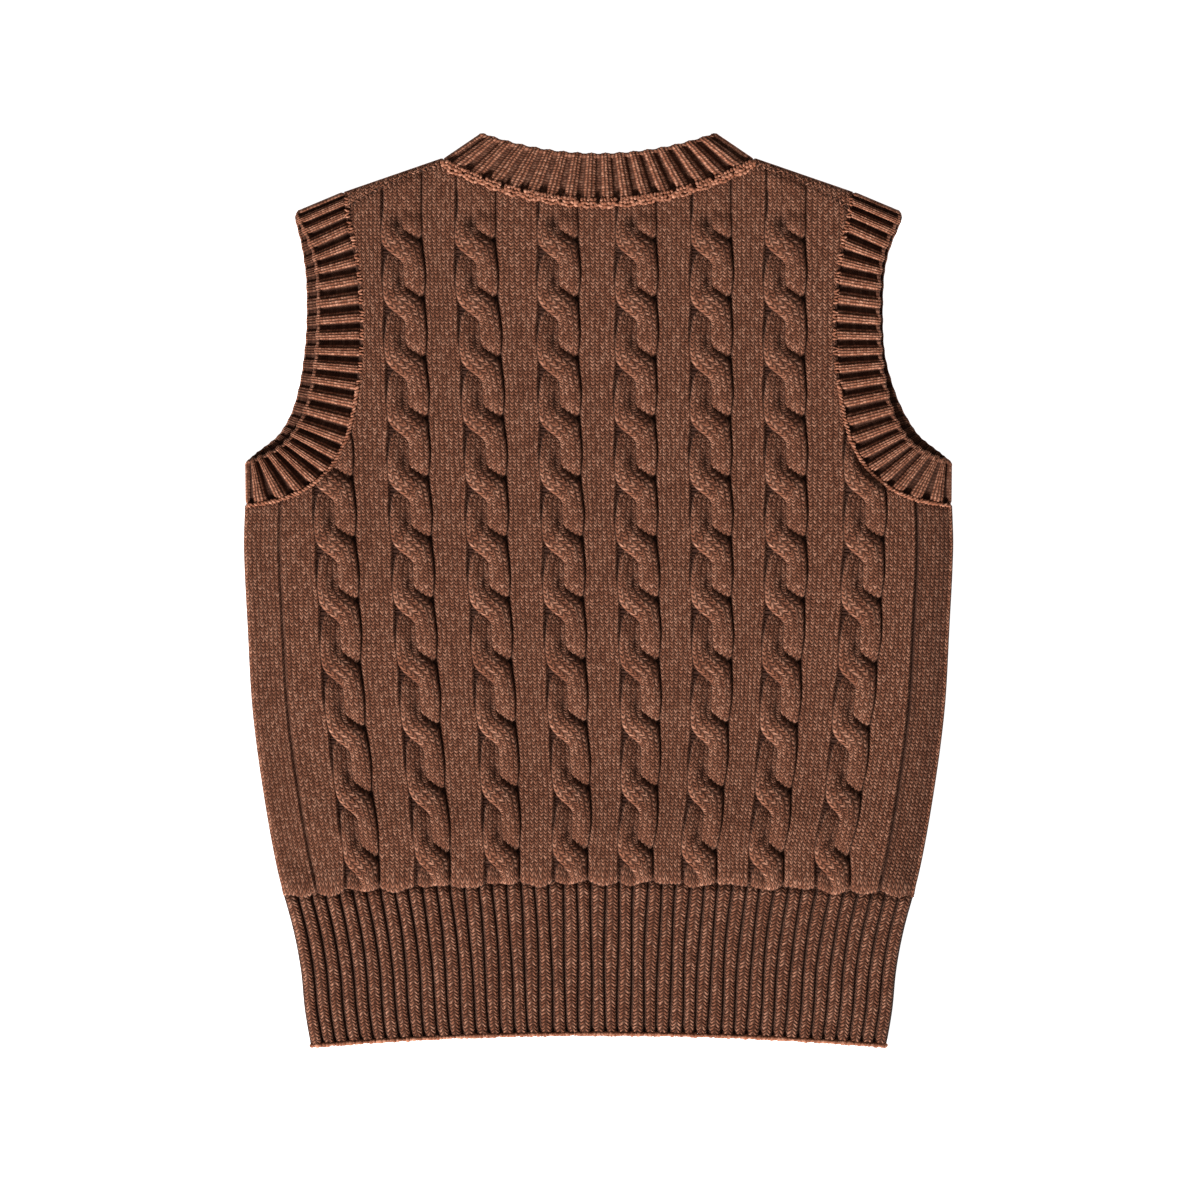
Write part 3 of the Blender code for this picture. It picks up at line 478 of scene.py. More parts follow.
    def build(self, material, nodes=()):
        """Make the object, join points that lie together, and hide the parts that it replaces.
        """
        points = np.concatenate(self.points)
        painted_shades = np.concatenate(self.painted_shades)
        if self.volume(points) < 0:
            self.faces, self.stitch, self.sheet = (
                [values[:, ::-1] for values in group]
                for group in (self.faces, self.stitch, self.sheet))
        keys = np.round(points * JOINED).astype(np.int64)
        _, first, joined = np.unique(keys, axis=0, return_index=True, return_inverse=True)
        faces = self.without_narrow_sides([joined.ravel()[group] for group in self.faces])
        used, renamed = np.unique(np.concatenate([group.ravel() for group in faces]),
                                  return_inverse=True)
        points, painted_shades = points[first][used], painted_shades[first][used]
        totals = np.concatenate([np.full(len(group), group.shape[1]) for group in faces])
        starts = np.concatenate([[0], np.cumsum(totals)[:-1]])
        mesh = bpy.data.meshes.new(self.name)
        mesh.vertices.add(len(points))
        mesh.vertices.foreach_set("co", (points * MILLIMETRE).ravel())
        mesh.loops.add(renamed.size)
        mesh.loops.foreach_set("vertex_index", renamed.ravel())
        mesh.polygons.add(len(totals))
        mesh.polygons.foreach_set("loop_start", starts)
        stitch, sheet = (np.concatenate([part.reshape(-1, 2) for part in parts])
                         for parts in (self.stitch, self.sheet))
        size = np.array((self.sheet_right, self.sheet_top)) + 2 * SHEET_EDGE
        sheet = (sheet + SHEET_EDGE) / size
        for layer_name, values in (("Stitch", stitch), ("OFBake", sheet)):
            layer = mesh.uv_layers.new(name=layer_name)
            layer.data.foreach_set("uv", values.ravel())
        # The 'gap' attribute holds the painted shade that darkens the yarn; below zero it is a
        # painted highlight.
        depth = mesh.attributes.new("gap", "FLOAT", "POINT")
        depth.data.foreach_set("value", painted_shades)
        mesh.validate()
        mesh.update()
        mesh.shade_smooth()
        mesh.materials.append(material)
        piece = bpy.data.objects.new(self.name, mesh)
        bpy.context.scene.collection.objects.link(piece)
        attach(piece, BODY)
        if nodes:
            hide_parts(*nodes)
        return piece


def lattice(step, keep):
    """Evenly spaced spots that pass a test, for the plain inner sides."""
    count = int(LATTICE_REACH / step)
    reach = np.arange(-count, count + 1) * step
    x, y = (values.ravel() for values in np.meshgrid(reach, reach))
    chosen = keep(x, y)
    return list(zip(x[chosen].tolist(), y[chosen].tolist()))


# ---------------------------------------------------------------- materials

DARK_YARN = (0.084, 0.0253, 0.0123)
MIDDLE_YARN = (0.216, 0.0788, 0.0418)
LIGHT_YARN = (0.47, 0.232, 0.150)
# the colour that painted shade darkens the yarn towards
PAINTED_SHADE_YARN = (0.016, 0.0045, 0.0022)
LEG_TONE, FIBRE_TONE, PATCH_TONE = 0.34, 0.80, 0.12
TONE_DOWN = 0.13            # taken off the sum of those three
TONE_STOPS = (0.18, 0.5, 0.82)          # where it gives the dark, middle and light yarn
FIBRE_SCALE, PATCH_SCALE = 2600.0, 45.0
WOBBLE = (0.3, 0.8, 0.0)    # how far the stitches wander, in wales and in courses
WOBBLE_SCALE = 0.9
LEG_START, LEG_TURN = 0.2 * math.pi, 0.75 * math.pi     # of the arch across a leg
LEG_LEAST, CORD_LEAST = 0.3, 0.1        # height of a leg and of a cord at its sides
CREVICE = 0.12              # share of its colour that the yarn keeps between the legs, in painted shade
DEEPEST = 0.9               # and share that it loses in the deepest painted shade of the gap attribute
FIBRE_RELIEF = 0.22
BUMP = 0.35 * MILLIMETRE


def knit(name, slant, sharpness, brightness, leg_lines=1.0, cords=False):
    """Heathered yarn, knitted: the stitches follow the piece's own map of them."""
    dark, middle, light = ([part * brightness for part in yarn]
                           for yarn in (DARK_YARN, MIDDLE_YARN, LIGHT_YARN))
    material = bpy.data.materials.new(name)
    material.use_nodes = True
    tree = material.node_tree
    tree.nodes.clear()

    def node(kind, inputs=(), **settings):
        made = tree.nodes.new(kind)
        for key, value in settings.items():
            setattr(made, key, value)
        for key, value in dict(inputs).items():
            if isinstance(value, bpy.types.NodeSocket):
                tree.links.new(value, made.inputs[key])
            else:
                made.inputs[key].default_value = value
        return made

    def maths(operation, *values):
        return node("ShaderNodeMath", enumerate(values), operation=operation).outputs[0]

    def times(first, second):
        return maths("MULTIPLY", first, second)

    def from_least(least, value):
        """A value from 0 to 1, made to run from its least to 1."""
        return maths("MULTIPLY_ADD", value, 1 - least, least)

    def vectors(operation, first, second):
        return node("ShaderNodeVectorMath", {0: first, 1: second},
                    operation=operation).outputs[0]

    def noise(where, scale, roughness):
        return node("ShaderNodeTexNoise", {"Vector": where, "Scale": scale, "Detail": 3.0,
                                           "Roughness": roughness}).outputs[0]

    where = node("ShaderNodeUVMap", uv_map="Stitch").outputs[0]
    wobble = node("ShaderNodeTexNoise", {"Vector": where, "Scale": WOBBLE_SCALE,
                                         "Detail": 2.0}, noise_dimensions="2D")
    shift = vectors("SUBTRACT", wobble.outputs["Color"], (0.5, 0.5, 0.5))
    where = vectors("ADD", where, vectors("MULTIPLY", shift, WOBBLE))
    axes = node("ShaderNodeSeparateXYZ", {0: where}).outputs
    wale, course = axes[0], axes[1]

    # Across a wale: 1 at its sides and 0 in its middle, where the two legs meet.
    side = times(maths("ABSOLUTE", maths("SUBTRACT", maths("FRACT", wale), 0.5)), 2.0)
    along = maths("SUBTRACT", course, times(maths("SUBTRACT", side, 0.5), slant))
    leg_end = maths("SINE", times(maths("FRACT", along), math.pi))
    if cords:
        leg_side = maths("SINE", times(maths("FRACT", wale), math.pi))
    else:
        leg_side = maths("SINE", maths("MULTIPLY_ADD", side, LEG_TURN, LEG_START))
    leg_side = from_least(CORD_LEAST if cords else LEG_LEAST, leg_side)
    leg = maths("POWER", times(from_least(1 - leg_lines, leg_end), leg_side), sharpness)

    # Each leg has its own tone, and fine fibres run through all of them.
    leg_name = node("ShaderNodeCombineXYZ", {0: maths("FLOOR", times(wale, 2.0)),
                                             1: maths("FLOOR", along)})
    tone = node("ShaderNodeTexWhiteNoise", {"Vector": leg_name.outputs[0]},
                noise_dimensions="2D").outputs[0]
    place = node("ShaderNodeTexCoord").outputs["Object"]
    fibre = noise(place, FIBRE_SCALE, 0.65)
    patches = noise(place, PATCH_SCALE, 0.6)
    mixed = maths("ADD", times(tone, LEG_TONE), times(fibre, FIBRE_TONE))
    mixed = maths("ADD", mixed, times(patches, PATCH_TONE))
    ramp = node("ShaderNodeValToRGB", {0: maths("SUBTRACT", mixed, TONE_DOWN)})
    stops = ramp.color_ramp.elements
    stops[0].position, stops[0].color = TONE_STOPS[0], (*dark, 1.0)
    stops[1].position, stops[1].color = TONE_STOPS[2], (*light, 1.0)
    stops.new(TONE_STOPS[1]).color = (*middle, 1.0)

    # Painted shade between the legs and, by the gap attribute, in the gaps; below zero a
    # painted highlight.
    gap = node("ShaderNodeAttribute", attribute_name="gap").outputs["Fac"]
    shade = times(from_least(CREVICE, leg), maths("SUBTRACT", 1.0, times(gap, DEEPEST)))
    colour = node("ShaderNodeMix", {0: shade, 6: (*PAINTED_SHADE_YARN, 1.0), 7: ramp.outputs[0]},
                  data_type="RGBA")

    relief = maths("ADD", leg, times(fibre, FIBRE_RELIEF))
    bumped = node("ShaderNodeBump", {"Strength": 1.0, "Distance": BUMP, "Height": relief})
    shader = node("ShaderNodeBsdfPrincipled", {
        "Base Color": colour.outputs[2], "Normal": bumped.outputs[0], "Roughness": 0.88,
        "Specular IOR Level": 0.12, "Sheen Weight": 0.05, "Sheen Roughness": 0.55,
        "Sheen Tint": (1.0, 0.72, 0.55, 1.0)})
    node("ShaderNodeOutputMaterial", {0: shader.outputs[0]})
    return material


# Copies of one yarn: the lighter band, seam and rim copies are painted light, brightening parts
# that catch the light.
BODY_KNIT = knit("body_yarn", LEG_RISE / COURSE, 1.15, 1.06)
HEM_KNIT = knit("hem_yarn", HEM_LEG_RISE / COURSE, 1.8, 1.1)
BAND_KNIT = knit("band_yarn", 0.0, 1.1, 1.4, leg_lines=0.5, cords=True)
SEAM_KNIT = knit("seam_yarn", 0.15, 0.8, 1.35, leg_lines=0.3)
RIM_KNIT = knit("rim_yarn", 0.15, 0.6, 1.25, leg_lines=0.3)


# ---------------------------------------------------------------- the back

# A line of points up the garment: the share of the way between two of the back's
# section lines, a distance added to that, the height over the plain cloth, its place in
# the wales, the side of the stitch (1 at a wale's sides, 0 in its middle), and how much
# painted shade it gets in a gap.
Wale = namedtuple("Wale", "left share offset height place side gap")
WALE_STEPS = 3
WALE_SHADE = 0.35           # between two wales
GROOVE_BOTTOM = 0.35        # share of its half width from a groove's middle to its bottom
GROOVE_WALE = 0.3           # and place of the bottom in the wales
FLOOR_WALES = (0.3, 0.7)
BACK_TOP = 194.0            # above the highest point of the back
START_ROWS = 5              # stitches get their full slant over this many rows from an edge
START_SLANT = 0.5
BORDER_REACH = 3.0          # and over this distance from the back's upper border
Sway = namedtuple("Sway", "height size shift")
SWAYS = (Sway(23, 1.0, 1.7), Sway(9.5, 0.7, 2.9))       # of the cables, up the back
THINNEST = 0.3              # the back's cloth is at least this thick
TUCK_WALL = 0.1             # and this where its lower edge is tucked in
TUCK_COURSES = 0.7
BODY_SHEET = (320.0, 327.0)
BACK_SPOTS = 16.0           # between the points of the plain inner side
SPOT_MARGIN = 12.0          # and from them to its edges
SPOTS_BELOW = 26.0          # they reach out to the sides below this height
BACK_BETWEEN = Point(96.0, 165.0)       # and up to here between the armholes


def wale_lines(section, count, start, inset_left, inset_right):
    """The lines of a plain section, from its left edge to its right."""
    lines = []
    for step in range(count * WALE_STEPS + 1):
        share = step / (count * WALE_STEPS)
        part = step % WALE_STEPS
        edge = part == 0
        height = -WALE_DIP if edge else 0.0
        offset = inset_left * (1 - share) - inset_right * share
        side = abs(part / WALE_STEPS - 0.5) * 2
        lines.append(Wale(section, share, offset, height, start + share * count, side,
                          WALE_SHADE if edge else 0.0))
    return lines


def groove_line(section, share, outwards, place):
    """The bottom of the groove at the left (-1) or right side of a plain section."""
    return Wale(section, share, -outwards * GROOVE_HALF * GROOVE_BOTTOM, -GROOVE_DEPTH,
                place + outwards * GROOVE_WALE, 0.5, GROOVE_SHADE)


def back_lines():
    """All the lines of the back, from the left side fold to the right one."""
    lines = []
    last = 2 * CABLE_COUNT + 2
    place = 0.0
    for section in range(last + 1):
        at_side = section in (0, last)
        if section % 2 == 0 and not at_side:
            for share, inset in ((0, FLOOR_INSET), (1, -FLOOR_INSET)):
                lines.append(Wale(section, share, inset, -FLOOR, place + FLOOR_WALES[share],
                                  0.0, 1.0))
            place += 1
            continue
        inset_left = 0.0 if section == 0 else GROOVE_HALF
        inset_right = 0.0 if section == last else GROOVE_HALF
        count = SIDE_WALES if at_side else PLAIN_WALES
        if section != 0:
            lines.append(groove_line(section, 0.0, -1, place))
        lines += wale_lines(section, count, place, inset_left, inset_right)
        place += count
        if section != last:
            lines.append(groove_line(section, 1.0, 1, place))
        place += 1 if section in (0, last - 1) else 0
    return lines


def section_lines(y):
    """Where the sections of the back begin and end, at heights y."""
    half = half_width(y)
    width = cable_width(y)
    lines = [-half, SIDE_GROOVE_INSET - half]
    for number in range(1, CABLE_COUNT + 1):
        middle = cable_middle(number, y)
        lines += [middle - width / 2, middle + width / 2]
    return np.stack(lines + [half - SIDE_GROOVE_INSET, half], -1)


def cable_middle(number, y):
    sway = sum(part.size * np.sin(y / part.height + number * part.shift) for part in SWAYS)
    return read(CABLES, f"c{number}", y) + SWAY * sway


def cable_width(y):
    """A cable's width, drawn in at its crossings."""
    places = crossing_places()
    count = np.interp(-np.asarray(y), -places, np.arange(len(places)))
    return read(CABLES, "width", y) * (1 - PINCH * np.cos(2 * np.pi * count))


def scallop(x):
    """From 0 between two of the back's sections to 1 in the middle of one, at the hem."""
    edges = section_lines(np.array([HEM_TOP_MIDDLE]))[0]
    share = np.interp(x, edges, np.arange(len(edges))) % 1
    return np.sqrt(4 * share * (1 - share))


def overhang(x, y):
    """How far cloth near the body's lower edge hangs down over the hem."""
    fade = 1 - ease((y - hem_top(x)) / LIP_REACH)
    uneven = LIP_UNEVEN * sum(part.size * np.sin(x / part.width + part.shift)
                              for part in LIP_WAVES)
    return (LIP * (LIP_SHARE + (1 - LIP_SHARE) * scallop(x)) + uneven * scallop(x)) * fade


def puff(height):
    """From 1 at the body's lower edge to 0 where it has rounded up."""
    return 1 - rounding(height, PUFF_REACH)


def back_height(x, y):
    """Top of the back's plain knitting."""
    from_crest = y - hem_top(x) - BULGE_PLACE
    bulge = np.exp(-(from_crest / np.where(from_crest > 0, *BULGE_REACHES)) ** 2)
    return back_inside(x, y) + BACK_WALL + BULGE * scallop(x) * bulge


def round_sides(x, y, z):
    """Heights of the back's outer side, rounded down at the side folds."""
    low = SIDE_SEAM_Z + LAYER_GAP
    z = low + (z - low) * rounding(half_width(y) - np.abs(x), SIDE_ROUND)
    return np.maximum(z, back_inside(x, y) + THINNEST)


def crests(rows):
    """The stitches' own relief, from row to row."""
    return np.where(rows % ROWS == 0, -1.0, 1.0) * STITCH_DIP


def inside_body(x, y, margin, between):
    """Whether spots of a plain inner side are well inside the body and its armholes."""
    below_arms = (y < SPOTS_BELOW) & (np.abs(x) < half_width(y) - margin)
    between_arms = (y < between.y) & (np.abs(x) < between.x)
    return (y > hem_top(x) + margin) & (below_arms | between_arms)


def inner_side(points, _):
    return back_inside(points[:, 0], points[:, 1])


def cut_at_border(x, y, distance, near):
    """Points outside the back's border, moved onto it, and the faces that are kept."""
    inside = distance > INSIDE_CUT
    kept = inside[:-1, :-1] | inside[1:, :-1] | inside[:-1, 1:] | inside[1:, 1:]
    x = np.where(inside, x, near[..., 0])
    y = np.where(inside, y, near[..., 1])
    return x, y, kept


OUTER_CABLE_TOP = 95.0      # the armholes have cut off the outer cables above this
OUTER_CABLE_IN = 109.0

# How far the cloth closes over the grooves at a cable's left and right, by the share of
# the way from one crossing down to the next.
Cover = namedtuple("Cover", "share left right")
COVERS = (
    Cover(0.00, 0.30, 0.00), Cover(0.08, 0.00, 0.00), Cover(0.35, 0.00, 0.20),
    Cover(0.55, 0.50, 0.40), Cover(0.75, 0.90, 0.25), Cover(0.90, 0.80, 0.00),
    Cover(1.00, 0.30, 0.00),
)
SIDE_COVER = 0.35           # the same for the groove near the left side fold
COVERED_DEPTH = 0.3         # share of its depth that a covered groove keeps
COVERED_SHADE = 0.25        # and share of its shade
SIDE_FALL = 1.9             # how far the cloth falls from the right groove to the side fold
SIDE_SHADES = (0.08, 0.46)  # and how much painted shade it gets towards the left and right folds
SIDE_SHADOW = 0.35          # the cloth just outside the right groove is painted with its shadow
SHADOW_INSET = 14.9
SHADOW_REACH = 1.5
FOLD_GLOWS = (0.3, 0.8)     # the left and right folds are painted lighter, a painted highlight where they catch the light
FOLD_REACH = 2.8
BORDER_SHADE = 0.6          # painted shade along the seams of the back's upper border
BORDER_SHADE_REACH = 1.2


def pitch_share(y):
    """The number of the crossing above each height, and the share of the way to the next."""
    places = crossing_places()
    above = np.clip(np.searchsorted(-places, -y, side="left") - 1, -1, len(places) - 1)
    pitch = np.append(places[:-1] - places[1:], places[-2] - places[-1])
    share = (places[above] - y) / pitch[above]
    return above, np.where(above < 0, np.clip(1 - (y - places[0]) / pitch[0], 0, 1), share)


def groove_cover(y, section, share):
    """How far each groove line of the back is covered at heights y."""
    _, pitch = pitch_share(y)
    plain = (section % 2 == 1) & (section > 0)
    beside_left = plain & (share == 1.0) & (section < 2 * CABLE_COUNT)
    beside_right = plain & (share == 0.0) & (section > 1)
    at_side = np.where(section > CABLE_COUNT, 0.0, SIDE_COVER)
    cover = np.where(beside_left, read(COVERS, "left", pitch), at_side)
    return np.where(beside_right, read(COVERS, "right", pitch), cover)


def back_knit():
    """The back's plain knitting, with a lowered floor under each cable."""
    lines = back_lines()
    columns = Wale(*(np.array(values) for values in zip(*lines)))
    left = columns.left.astype(int)
    step = COURSE / ROWS
    foot = HEM_TOP_MIDDLE + SEAM_GAP / 2
    rows = np.arange(int((BACK_TOP - foot) / step))[:, None]
    level = foot + rows * step

    def across(y):
        edges = section_lines(y)
        rows_at = np.arange(len(y))[:, None]
        start = edges[rows_at, np.arange(len(lines)), left]
        end = edges[rows_at, np.arange(len(lines)), left + 1]
        return start * (1 - columns.share) + end * columns.share + columns.offset

    def arched(x):
        fade = 1 - ease((level - foot) / ARCH_REACH)
        return level + (hem_top(x) - HEM_TOP_MIDDLE) * fade

    spread = np.broadcast_to(level, (len(rows), len(lines)))
    x = across(spread)
    y = arched(x)
    x = across(y)
    open_share = 1 - groove_cover(y, left, columns.share)
    distance, _ = to_border(x, y)
    slant = START_SLANT + (1 - START_SLANT) * ease(rows / START_ROWS)
    slant = slant * ease(distance / BORDER_REACH)
    rise = LEG_RISE * (columns.side - 0.5) * slant
    y = y + rise
    distance, near = to_border(x, y)

    x, y, kept = cut_at_border(x, y, distance, near)
    in_groove = columns.gap == GROOVE_SHADE
    height = columns.height + crests(rows) * (columns.gap < GROOVE_SHADE)
    covered = COVERED_DEPTH + (1 - COVERED_DEPTH) * open_share
    height = np.where(in_groove, height * covered, height)
    height = np.where((y > OUTER_CABLE_TOP) & (np.abs(x) > OUTER_CABLE_IN), -WALE_DIP, height)
    depth = half_width(y) - np.abs(x)
    nearness = np.clip(1 - depth / SIDE_GROOVE_INSET, 0, 1)
    z = back_height(x, y) + height
    z -= SEAM_DIP * (1 - ease(distance / SEAM_REACH))
    z -= PUFF_DROP * puff(y - hem_top(x) - SEAM_GAP / 2)
    z -= SIDE_FALL * nearness * (x > 0)
    z = round_sides(x, y, z)
    points = np.stack([x, y - overhang(x, y), z], -1)
    stitch = np.stack(np.broadcast_arrays(columns.place, rows / ROWS + rise / COURSE), -1)

    covered = COVERED_SHADE + (1 - COVERED_SHADE) * open_share
    painted_shades = columns.gap * np.where(in_groove, covered, 1.0)
    painted_shades = np.maximum(painted_shades, BORDER_SHADE * (1 - ease(distance / BORDER_SHADE_REACH)))
    painted_shades += nearness * np.where(x < 0, *SIDE_SHADES)
    painted_shades += SIDE_SHADOW * np.exp(-((depth - SHADOW_INSET) / SHADOW_REACH) ** 2) * (x > 0)
    painted_shades = np.minimum(painted_shades, 1.0) - np.where(x < 0, *FOLD_GLOWS) * (1 - ease(depth / FOLD_REACH))

    # The lower edge hangs over the hem, and below it the cloth goes back in to the seam.
    foot_z = np.minimum(back_inside(x[0], y[0]) + TUCK, z[0] - TUCK_WALL)
    points = np.concatenate([np.stack([x[0], y[0], foot_z], -1)[None], points])
    # The tucked-in row is painted in full shade.
    painted_shades = np.concatenate([np.ones_like(painted_shades[:1]), painted_shades])
    stitch = np.concatenate([stitch[:1] - (0.0, TUCK_COURSES), stitch])
    kept = np.concatenate([kept[:1], kept])
    piece = Piece("back_knit")
    piece.grid(points, painted_shades, stitch, BODY_SHEET, kept)
    piece.close(inner_side, lattice(
        BACK_SPOTS, lambda x, y: inside_body(x, y, SPOT_MARGIN, BACK_BETWEEN)))
    return piece.build(BODY_KNIT, ("back_panel",))


# ---------------------------------------------------------------- the cables

CROSSING_SHIFT = -2.7       # the middle of a crossing, from its height in the table
CABLE_REACH = 0.3           # how far a crossing strand stands out over the cable's sides
ROLLED_EDGE = 0.5           # height of the rolled edge of the strand that crosses over
ROLLED_GLOW = 0.35          # below zero in the gap map: a painted highlight on that edge
OPEN_INSET = 0.45           # where the groove at its left is open, a strand keeps off it
EDGE_DROP = 2.3             # how far a strand's free edge rounds down
JOINT_DROP = 0.35           # and its edge against the other strand, where they are level
UNDERSIDE = 2.5             # a strand's thickness
SHARED_EDGE = 0.97          # a strand this near its side of the cable lies against the other
SHARED_FADE = 0.35

# In a crossing the strand at the left goes over to the right and the other one goes under
# it.  Each edge of a strand changes sides at its own height over the crossing's middle and
# over its own length, and the strand's rows tilt.
Turn = namedtuple("Turn", "centre length")
OVER_TURNS = (Turn(-3.6, 10.0), Turn(4.4, 9.0))     # left edge, right edge
UNDER_TURNS = (Turn(-1.7, 12.5), Turn(0.5, 10.0))
OVER_TILT, UNDER_TILT = 3.8, -2.0
TILT_REACH = 6.5
DIVE_TILT = 1.4             # a strand's left edge goes down this much before its middle
HOLLOW = Point(-1.7, 11.0)  # from a crossing's middle to the hollow above it
HOLLOW_REACH = Point(2.2, 4.6)
HOLLOW_DEPTH = 1.3
HOLLOW_SHADE = 0.5

# Height of a strand's crest over the plain knitting, by the share of the way from one
# crossing down to the next: for the strand that went over, and for the other one.
Crest = namedtuple("Crest", "share over under")
CRESTS = (
    Crest(0.00, 2.4, -0.9),
    Crest(0.15, 2.7, -0.6),
    Crest(0.30, 2.5, 0.3),
    Crest(0.50, 2.1, 1.3),
    Crest(0.70, 1.3, 1.9),
    Crest(0.85, -0.3, 2.3),
    Crest(1.00, -1.1, 2.4),
)
COVER_REACH = 0.75          # how far a strand's edge goes over a groove that it covers
OVER_DROP = 0.9             # a crossing strand's upper edge rounds down by this much more
OVER_SHADE = 0.45           # and gets painted shade from its neighbour
DOME = 0.7                  # the same above the first crossing, where it is one broad dome
DOME_REACH = 17.0           # it starts this far above the first crossing
DOME_FADE = 10.0            # and is whole after this
STRAND_EDGE = (0.03, 0.08)  # extra lines near a strand's edges, as shares of its half width
OUTER_CABLE_END = 90.0      # rows of the outer cables end here, past where they are cut off
TILT_START = 6.0            # a strand gets its tilt over this height above the hem
STRAND_MARGIN = 0.1         # how far a strand at rest stands out over its half of the cable
LEG_CURVE = 12              # the legs' slant fades out close to a strand's edges
CROSSING_CURVE = 0.35       # below 1, so that a strand is soon wholly over the other
CROWN_CURVE = 2.5           # a strand is this much flatter on top than a half circle, at 2
LOW_REACH = 2.2             # a strand is wholly beside a low one when it is this much higher
STRAND_DIP = WALE_DIP * 0.8
ROLLED_PLACE = -0.92        # of the rolled edge, across the strand
ROLLED_REACH = 0.07
PUFF_SHARE = 0.85           # share of its height that a strand rounds down by at the hem
SEAM_SHARE = 0.6            # and at the seams of the back's upper border
STRAND_SEAM_REACH = SEAM_REACH * 1.6
STRAND_FLOOR = -FLOOR + 0.1             # a strand's underside is at least this high,
STRAND_LEAST = 0.12         # its top is this much higher
STRAND_WALL = 0.1           # and its edges are at least this thick
# Painted shade on a strand:
DIP_SHADE = 0.25            # between its wales
EDGE_SHADE = 0.5            # at its free edges
EDGE_SHADE_START = 0.9
JOINT_SHADE = 0.5           # where it goes down beside a higher strand
JOINT_SHADE_START = 0.8
OVER_SHADE_START = 0.2
LOW_SHADE = 0.22            # where it is lower than the other strand
LOW_SHADE_REACH = 3.3
DEEP_SHADE = 0.5            # and where it is lower than the plain knitting
STRAND_WALES = 9            # between the two strands' places in the wales
STRAND_SHEET = (10.0, 300.0)


def crossing_places():
    return np.array(CROSSINGS) + CROSSING_SHIFT


def crest_heights(y):
    """Heights over the plain knitting of the left-starting strand and of the other."""
    above, share = pitch_share(y)
    over, under = read(CRESTS, "over", share), read(CRESTS, "under", share)
    from_top = y - crossing_places()[0]
    blend = np.where(above < 0, ease((DOME_REACH - from_top) / DOME_FADE), 1.0)
    over, under = (DOME + (value - DOME) * blend for value in (over, under))
    first_over = above % 2 == 0
    return np.where(first_over, over, under), np.where(first_over, under, over)


def strand_tilt(level, strand):
    """How far a strand's right edge is above its row's middle, and its left edge below."""
    tilt = np.zeros(level.shape)
    for index, place in enumerate(crossing_places()):
        amount = OVER_TILT if (index + strand) % 2 == 0 else UNDER_TILT
        tilt += amount * np.exp(-((level - place) / TILT_REACH) ** 2)
    return tilt


def edge_side(level, strand, edge):
    """Where an edge of a strand lies: from -1, with the strand at the left, to 1."""
    side = np.full(level.shape, -1.0 if strand == 0 else 1.0)
    for index, place in enumerate(crossing_places()):
        goes_over = (index + strand) % 2 == 0
        turn = (OVER_TURNS if goes_over else UNDER_TURNS)[edge]
        share = ease((place + turn.centre + turn.length / 2 - level) / turn.length)
        side = side + (2 if goes_over else -2) * share
    return side


def hollow(number, strand, x, y, level):
    """From 0 to 1 in the soft hollow of a strand above each crossing that it goes over."""
    across = x - cable_middle(number, y) - HOLLOW.x
    depth = np.zeros(x.shape)
    for index, place in enumerate(crossing_places()):
        if (index + strand) % 2 == 0:
            along = level - place - HOLLOW.y
            depth += np.exp(-(across / HOLLOW_REACH.x) ** 2 - (along / HOLLOW_REACH.y) ** 2)
    return depth


def strand_edges(number, strand, level):
    """A strand's edges: their points, their sides, and how far they cover the grooves."""
    foot = level[0]
    tilt = strand_tilt(level, strand) * ease((level - foot) / TILT_START)
    arch = hem_top(cable_middle(number, foot)) - HEM_TOP_MIDDLE
    edges, sides, covers = [], [], []
    for edge, outwards in enumerate((-1, 1)):
        at = level + outwards * tilt
        side = edge_side(at, strand, edge)
        crossing = np.clip(1 - side ** 2, 0, 1)
        cover = read(COVERS, ("left", "right")[edge], pitch_share(at)[1])
        at_side = ease(side * outwards * 3 - 2)     # from 0 to 1 in the last of its way there
        inset = OPEN_INSET * np.clip(1 - cover, 0, 1) * at_side * (edge == 0)
        y = at + arch * (1 - ease((at - foot) / ARCH_REACH))
        reach = cable_width(y) / 4 * (side + outwards) + outwards * (
            STRAND_MARGIN + CABLE_REACH * crossing + COVER_REACH * cover * at_side - inset)
        covers.append((cover * at_side)[:, None])
        edges.append(np.stack([cable_middle(number, y) + reach, y], -1))
        sides.append(side)
    return edges, sides, covers


def strand_columns():
    """Lines of a strand from its left edge (-1) to its right, and which are its dips."""
    spots = np.linspace(-1, 1, CABLE_WALES * WALE_STEPS + 1)
    extra = 1 - np.array(STRAND_EDGE)
    places = np.concatenate([spots, extra, -extra])
    dips = np.zeros(len(places), bool)
    dips[WALE_STEPS:len(spots) - 1:WALE_STEPS] = True
    order = np.argsort(places)
    return places[order], dips[order]


